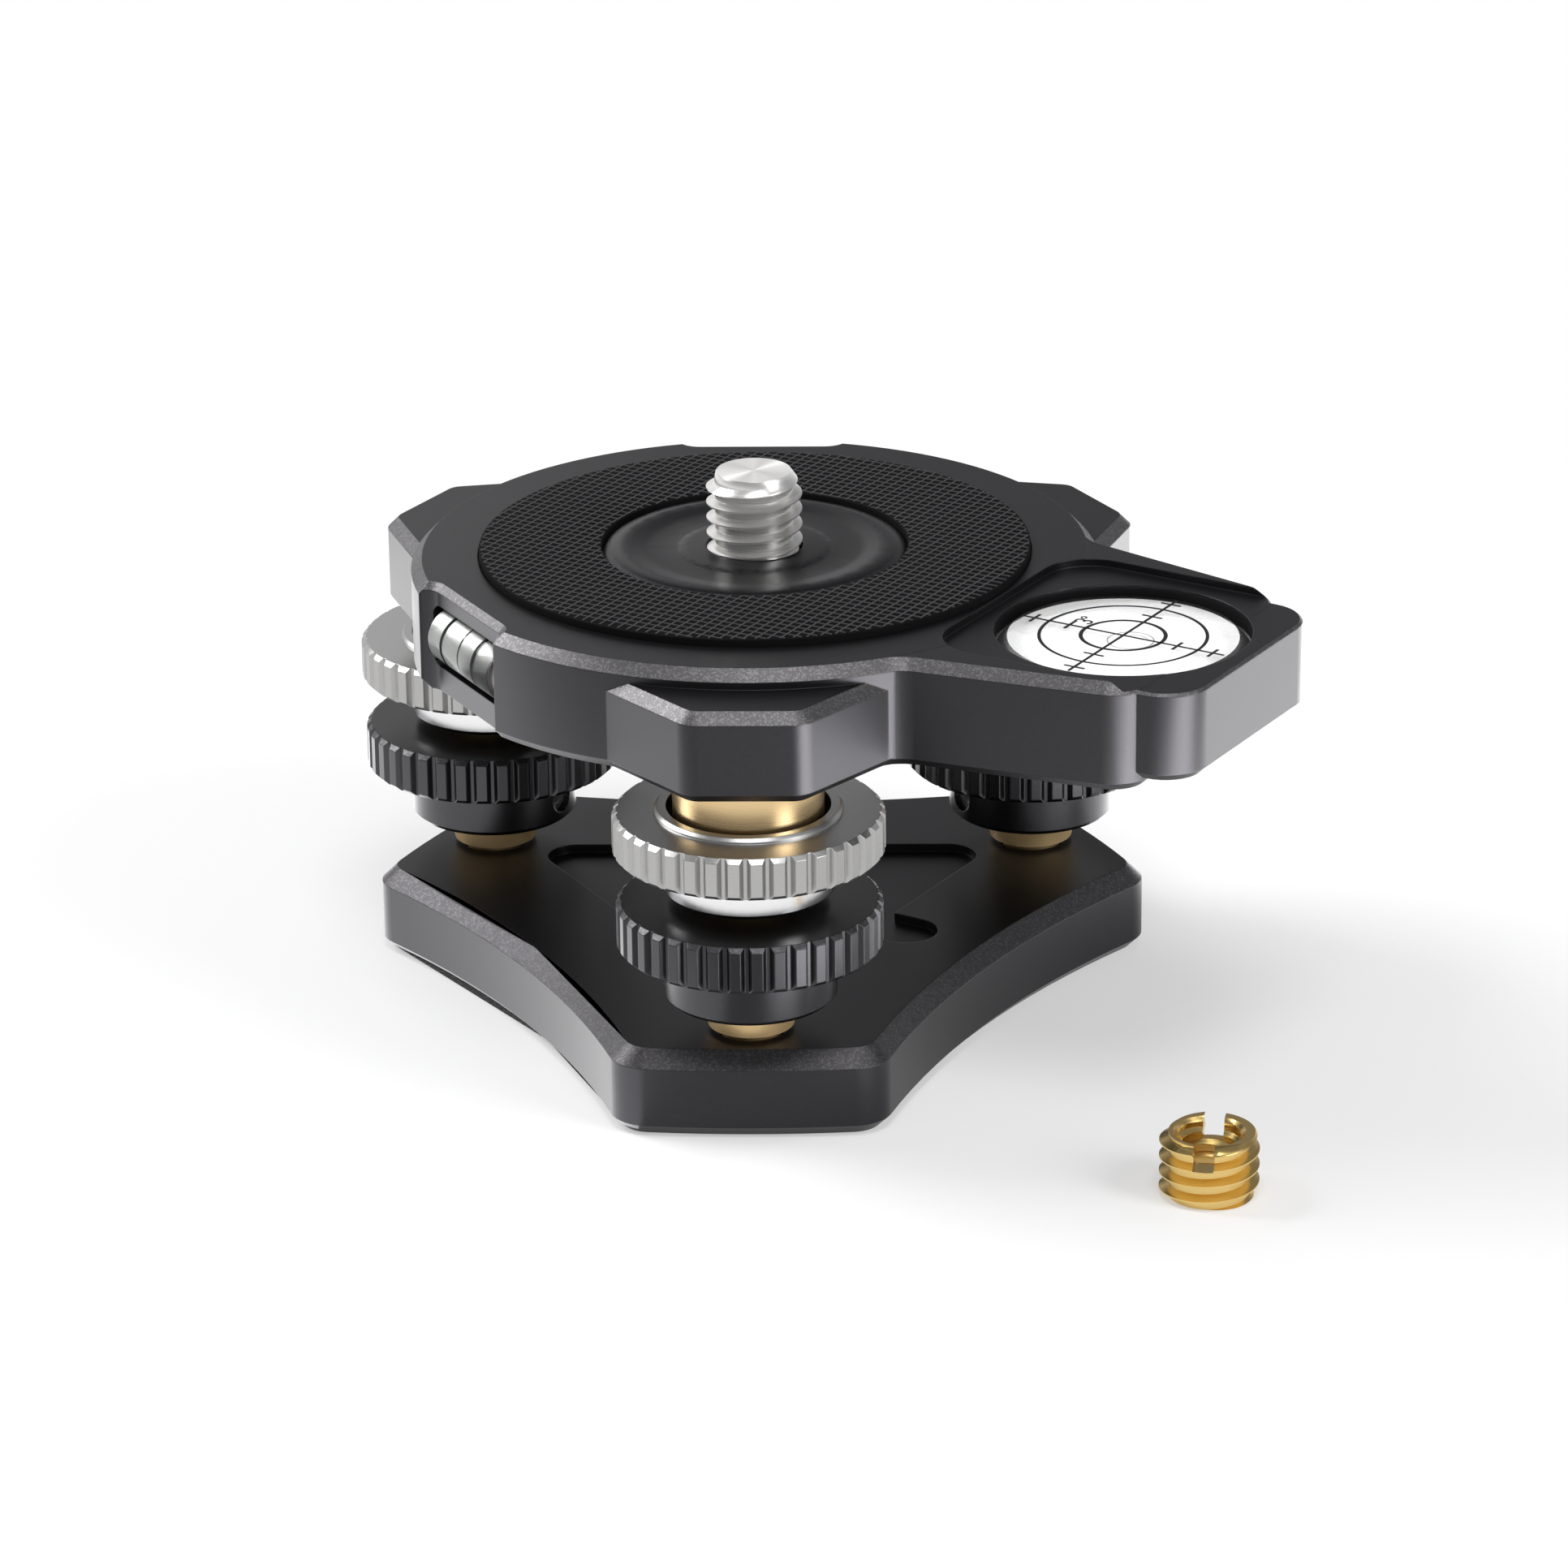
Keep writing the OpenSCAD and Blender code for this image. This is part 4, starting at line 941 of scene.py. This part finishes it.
def floor_material():
    """White floor that keeps the object's shadow and turns plain white away from it."""
    material, tree, shader = new_material("floor_white")
    set_inputs(shader, Base_Color=FLOOR_WHITE, Roughness=0.9, Specular_IOR_Level=0.1)
    glow = add_node(tree, "ShaderNodeEmission", Strength=1.0)
    path = tree.nodes.new("ShaderNodeLightPath")
    seen = math_node(tree, "MAXIMUM", path.outputs["Is Camera Ray"], path.outputs["Is Glossy Ray"])
    seen = math_node(tree, "MAXIMUM", seen, path.outputs["Is Transmission Ray"])
    place = tree.nodes.new("ShaderNodeTexCoord")
    away = add_node(tree, "ShaderNodeVectorMath", operation="LENGTH")
    tree.links.new(place.outputs["Object"], away.inputs[0])
    share = add_node(tree, "ShaderNodeMapRange", From_Min=GLOW_NEAR, From_Max=GLOW_FAR,
                     To_Min=GLOW_LEAST, To_Max=1)
    tree.links.new(away.outputs["Value"], share.inputs["Value"])
    blend = tree.nodes.new("ShaderNodeMixShader")
    tree.links.new(math_node(tree, "MULTIPLY", seen, share.outputs["Result"]), blend.inputs["Fac"])
    tree.links.new(shader.outputs["BSDF"], blend.inputs[1])
    tree.links.new(glow.outputs["Emission"], blend.inputs[2])
    tree.links.new(blend.outputs["Shader"], tree.nodes["Material Output"].inputs["Surface"])
    return material


def add_floor():
    mesh = bpy.data.meshes.new("floor")
    bm = bmesh.new()
    bmesh.ops.create_grid(bm, x_segments=1, y_segments=1, size=FLOOR_HALF)
    bm.to_mesh(mesh)
    bm.free()
    floor = bpy.data.objects.new("floor", mesh)
    show(floor)
    mesh.materials.append(floor_material())


# The world's colours and the heights of direction between which they blend
WORLD_LOW = (0.62, 0.62, 0.63, 1)
WORLD_LOW_Z = 0.02
WORLD_HIGH = (0.22, 0.22, 0.23, 1)
WORLD_HIGH_Z = 0.4


def add_world():
    world = bpy.data.worlds.new("studio")
    world.use_nodes = True
    bpy.context.scene.world = world
    tree = world.node_tree
    back = tree.nodes["Background"]
    place = tree.nodes.new("ShaderNodeTexCoord")
    split = tree.nodes.new("ShaderNodeSeparateXYZ")
    tree.links.new(place.outputs["Generated"], split.inputs["Vector"])
    ramp = tree.nodes.new("ShaderNodeValToRGB")
    low, high = ramp.color_ramp.elements
    low.position = WORLD_LOW_Z
    low.color = WORLD_LOW
    high.position = WORLD_HIGH_Z
    high.color = WORLD_HIGH
    tree.links.new(split.outputs["Z"], ramp.inputs["Fac"])
    tree.links.new(ramp.outputs["Color"], back.inputs["Color"])
    set_inputs(back, Strength=1.0)


# Each soft box's name, azimuth, elevation, distance, size and watts
LAMPS = (
    ("left_softbox", -112, 38, 1.4, (0.7, 0.7), 16),
    ("right_softbox", 58, 32, 1.4, (0.5, 0.7), 9),
    ("back_left_softbox", -158, 25, 0.6, (0.35, 0.25), 0.16),
    ("top_softbox", 8, 68, 1.1, (0.4, 0.4), 4))
LAMP_TARGET = Vector((0, 0, 0.025))

# Each flat panel's name, azimuth, nearest and farthest reach, width and brightness
PANELS = (
    ("right_panel", 45, 0.07, 0.5, 0.09, 13),
    ("right_back_panel", 135, 0.05, 0.5, 0.28, 4),
    ("left_panel", -106, 0.0, 0.5, 0.18, 2.2))
PANEL_HEIGHT = 0.0005


def area_lamp(name, width, length, watts):
    data = bpy.data.lights.new(name, "AREA")
    data.shape = "RECTANGLE"
    data.size = width
    data.size_y = length
    data.energy = watts
    lamp = bpy.data.objects.new(name, data)
    show(lamp)
    return lamp


def add_softbox(name, azimuth, elevation, distance, size, watts):
    """An area lamp that looks at the object."""
    lamp = area_lamp(name, size[0], size[1], watts)
    place = toward(azimuth, elevation) * distance
    turn = (place - LAMP_TARGET).to_track_quat("Z", "Y").to_matrix()
    lamp.matrix_world = Matrix.Translation(place) @ turn.to_4x4()


def dark_metal_pieces():
    """The black pieces, for panels that are flagged off the bright metal."""
    group = bpy.data.collections.new("dark metal")
    for node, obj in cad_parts.items():
        if finish_of(node) in (BLACK_BODY, BLACK_BASE_PAINTED_SHADE, BLACK_WHEEL, BLACK_SEAT):
            group.objects.link(obj)
    return group


def add_panel(name, azimuth, near, far, width, brightness, dark_metal):
    """A light panel lying flat beside the object, outward from near to far, seen only in the black pieces."""
    length = far - near
    panel = area_lamp(name, width, length, brightness * math.pi * width * length)
    az = math.radians(azimuth)
    reach = (near + far) / 2
    place = Matrix.Translation((reach * math.sin(az), -reach * math.cos(az), PANEL_HEIGHT))
    panel.matrix_world = place @ Matrix.Rotation(az, 4, "Z") @ Matrix.Rotation(math.pi, 4, "X")
    panel.visible_camera = False
    panel.visible_diffuse = False
    panel.visible_transmission = False
    panel.light_linking.receiver_collection = dark_metal


def add_lamps():
    for lamp in LAMPS:
        add_softbox(*lamp)
    dark_metal = dark_metal_pieces()
    for panel in PANELS:
        add_panel(*panel, dark_metal)


bpy.context.scene.view_settings.view_transform = "Standard"
add_camera()
add_floor()
add_world()
add_lamps()
dress_all()
make_stud()
make_adapter()
make_pad()
make_bullseye()
make_tube("tube_vial_left", -150)
make_tube("tube_vial_rear", 90)
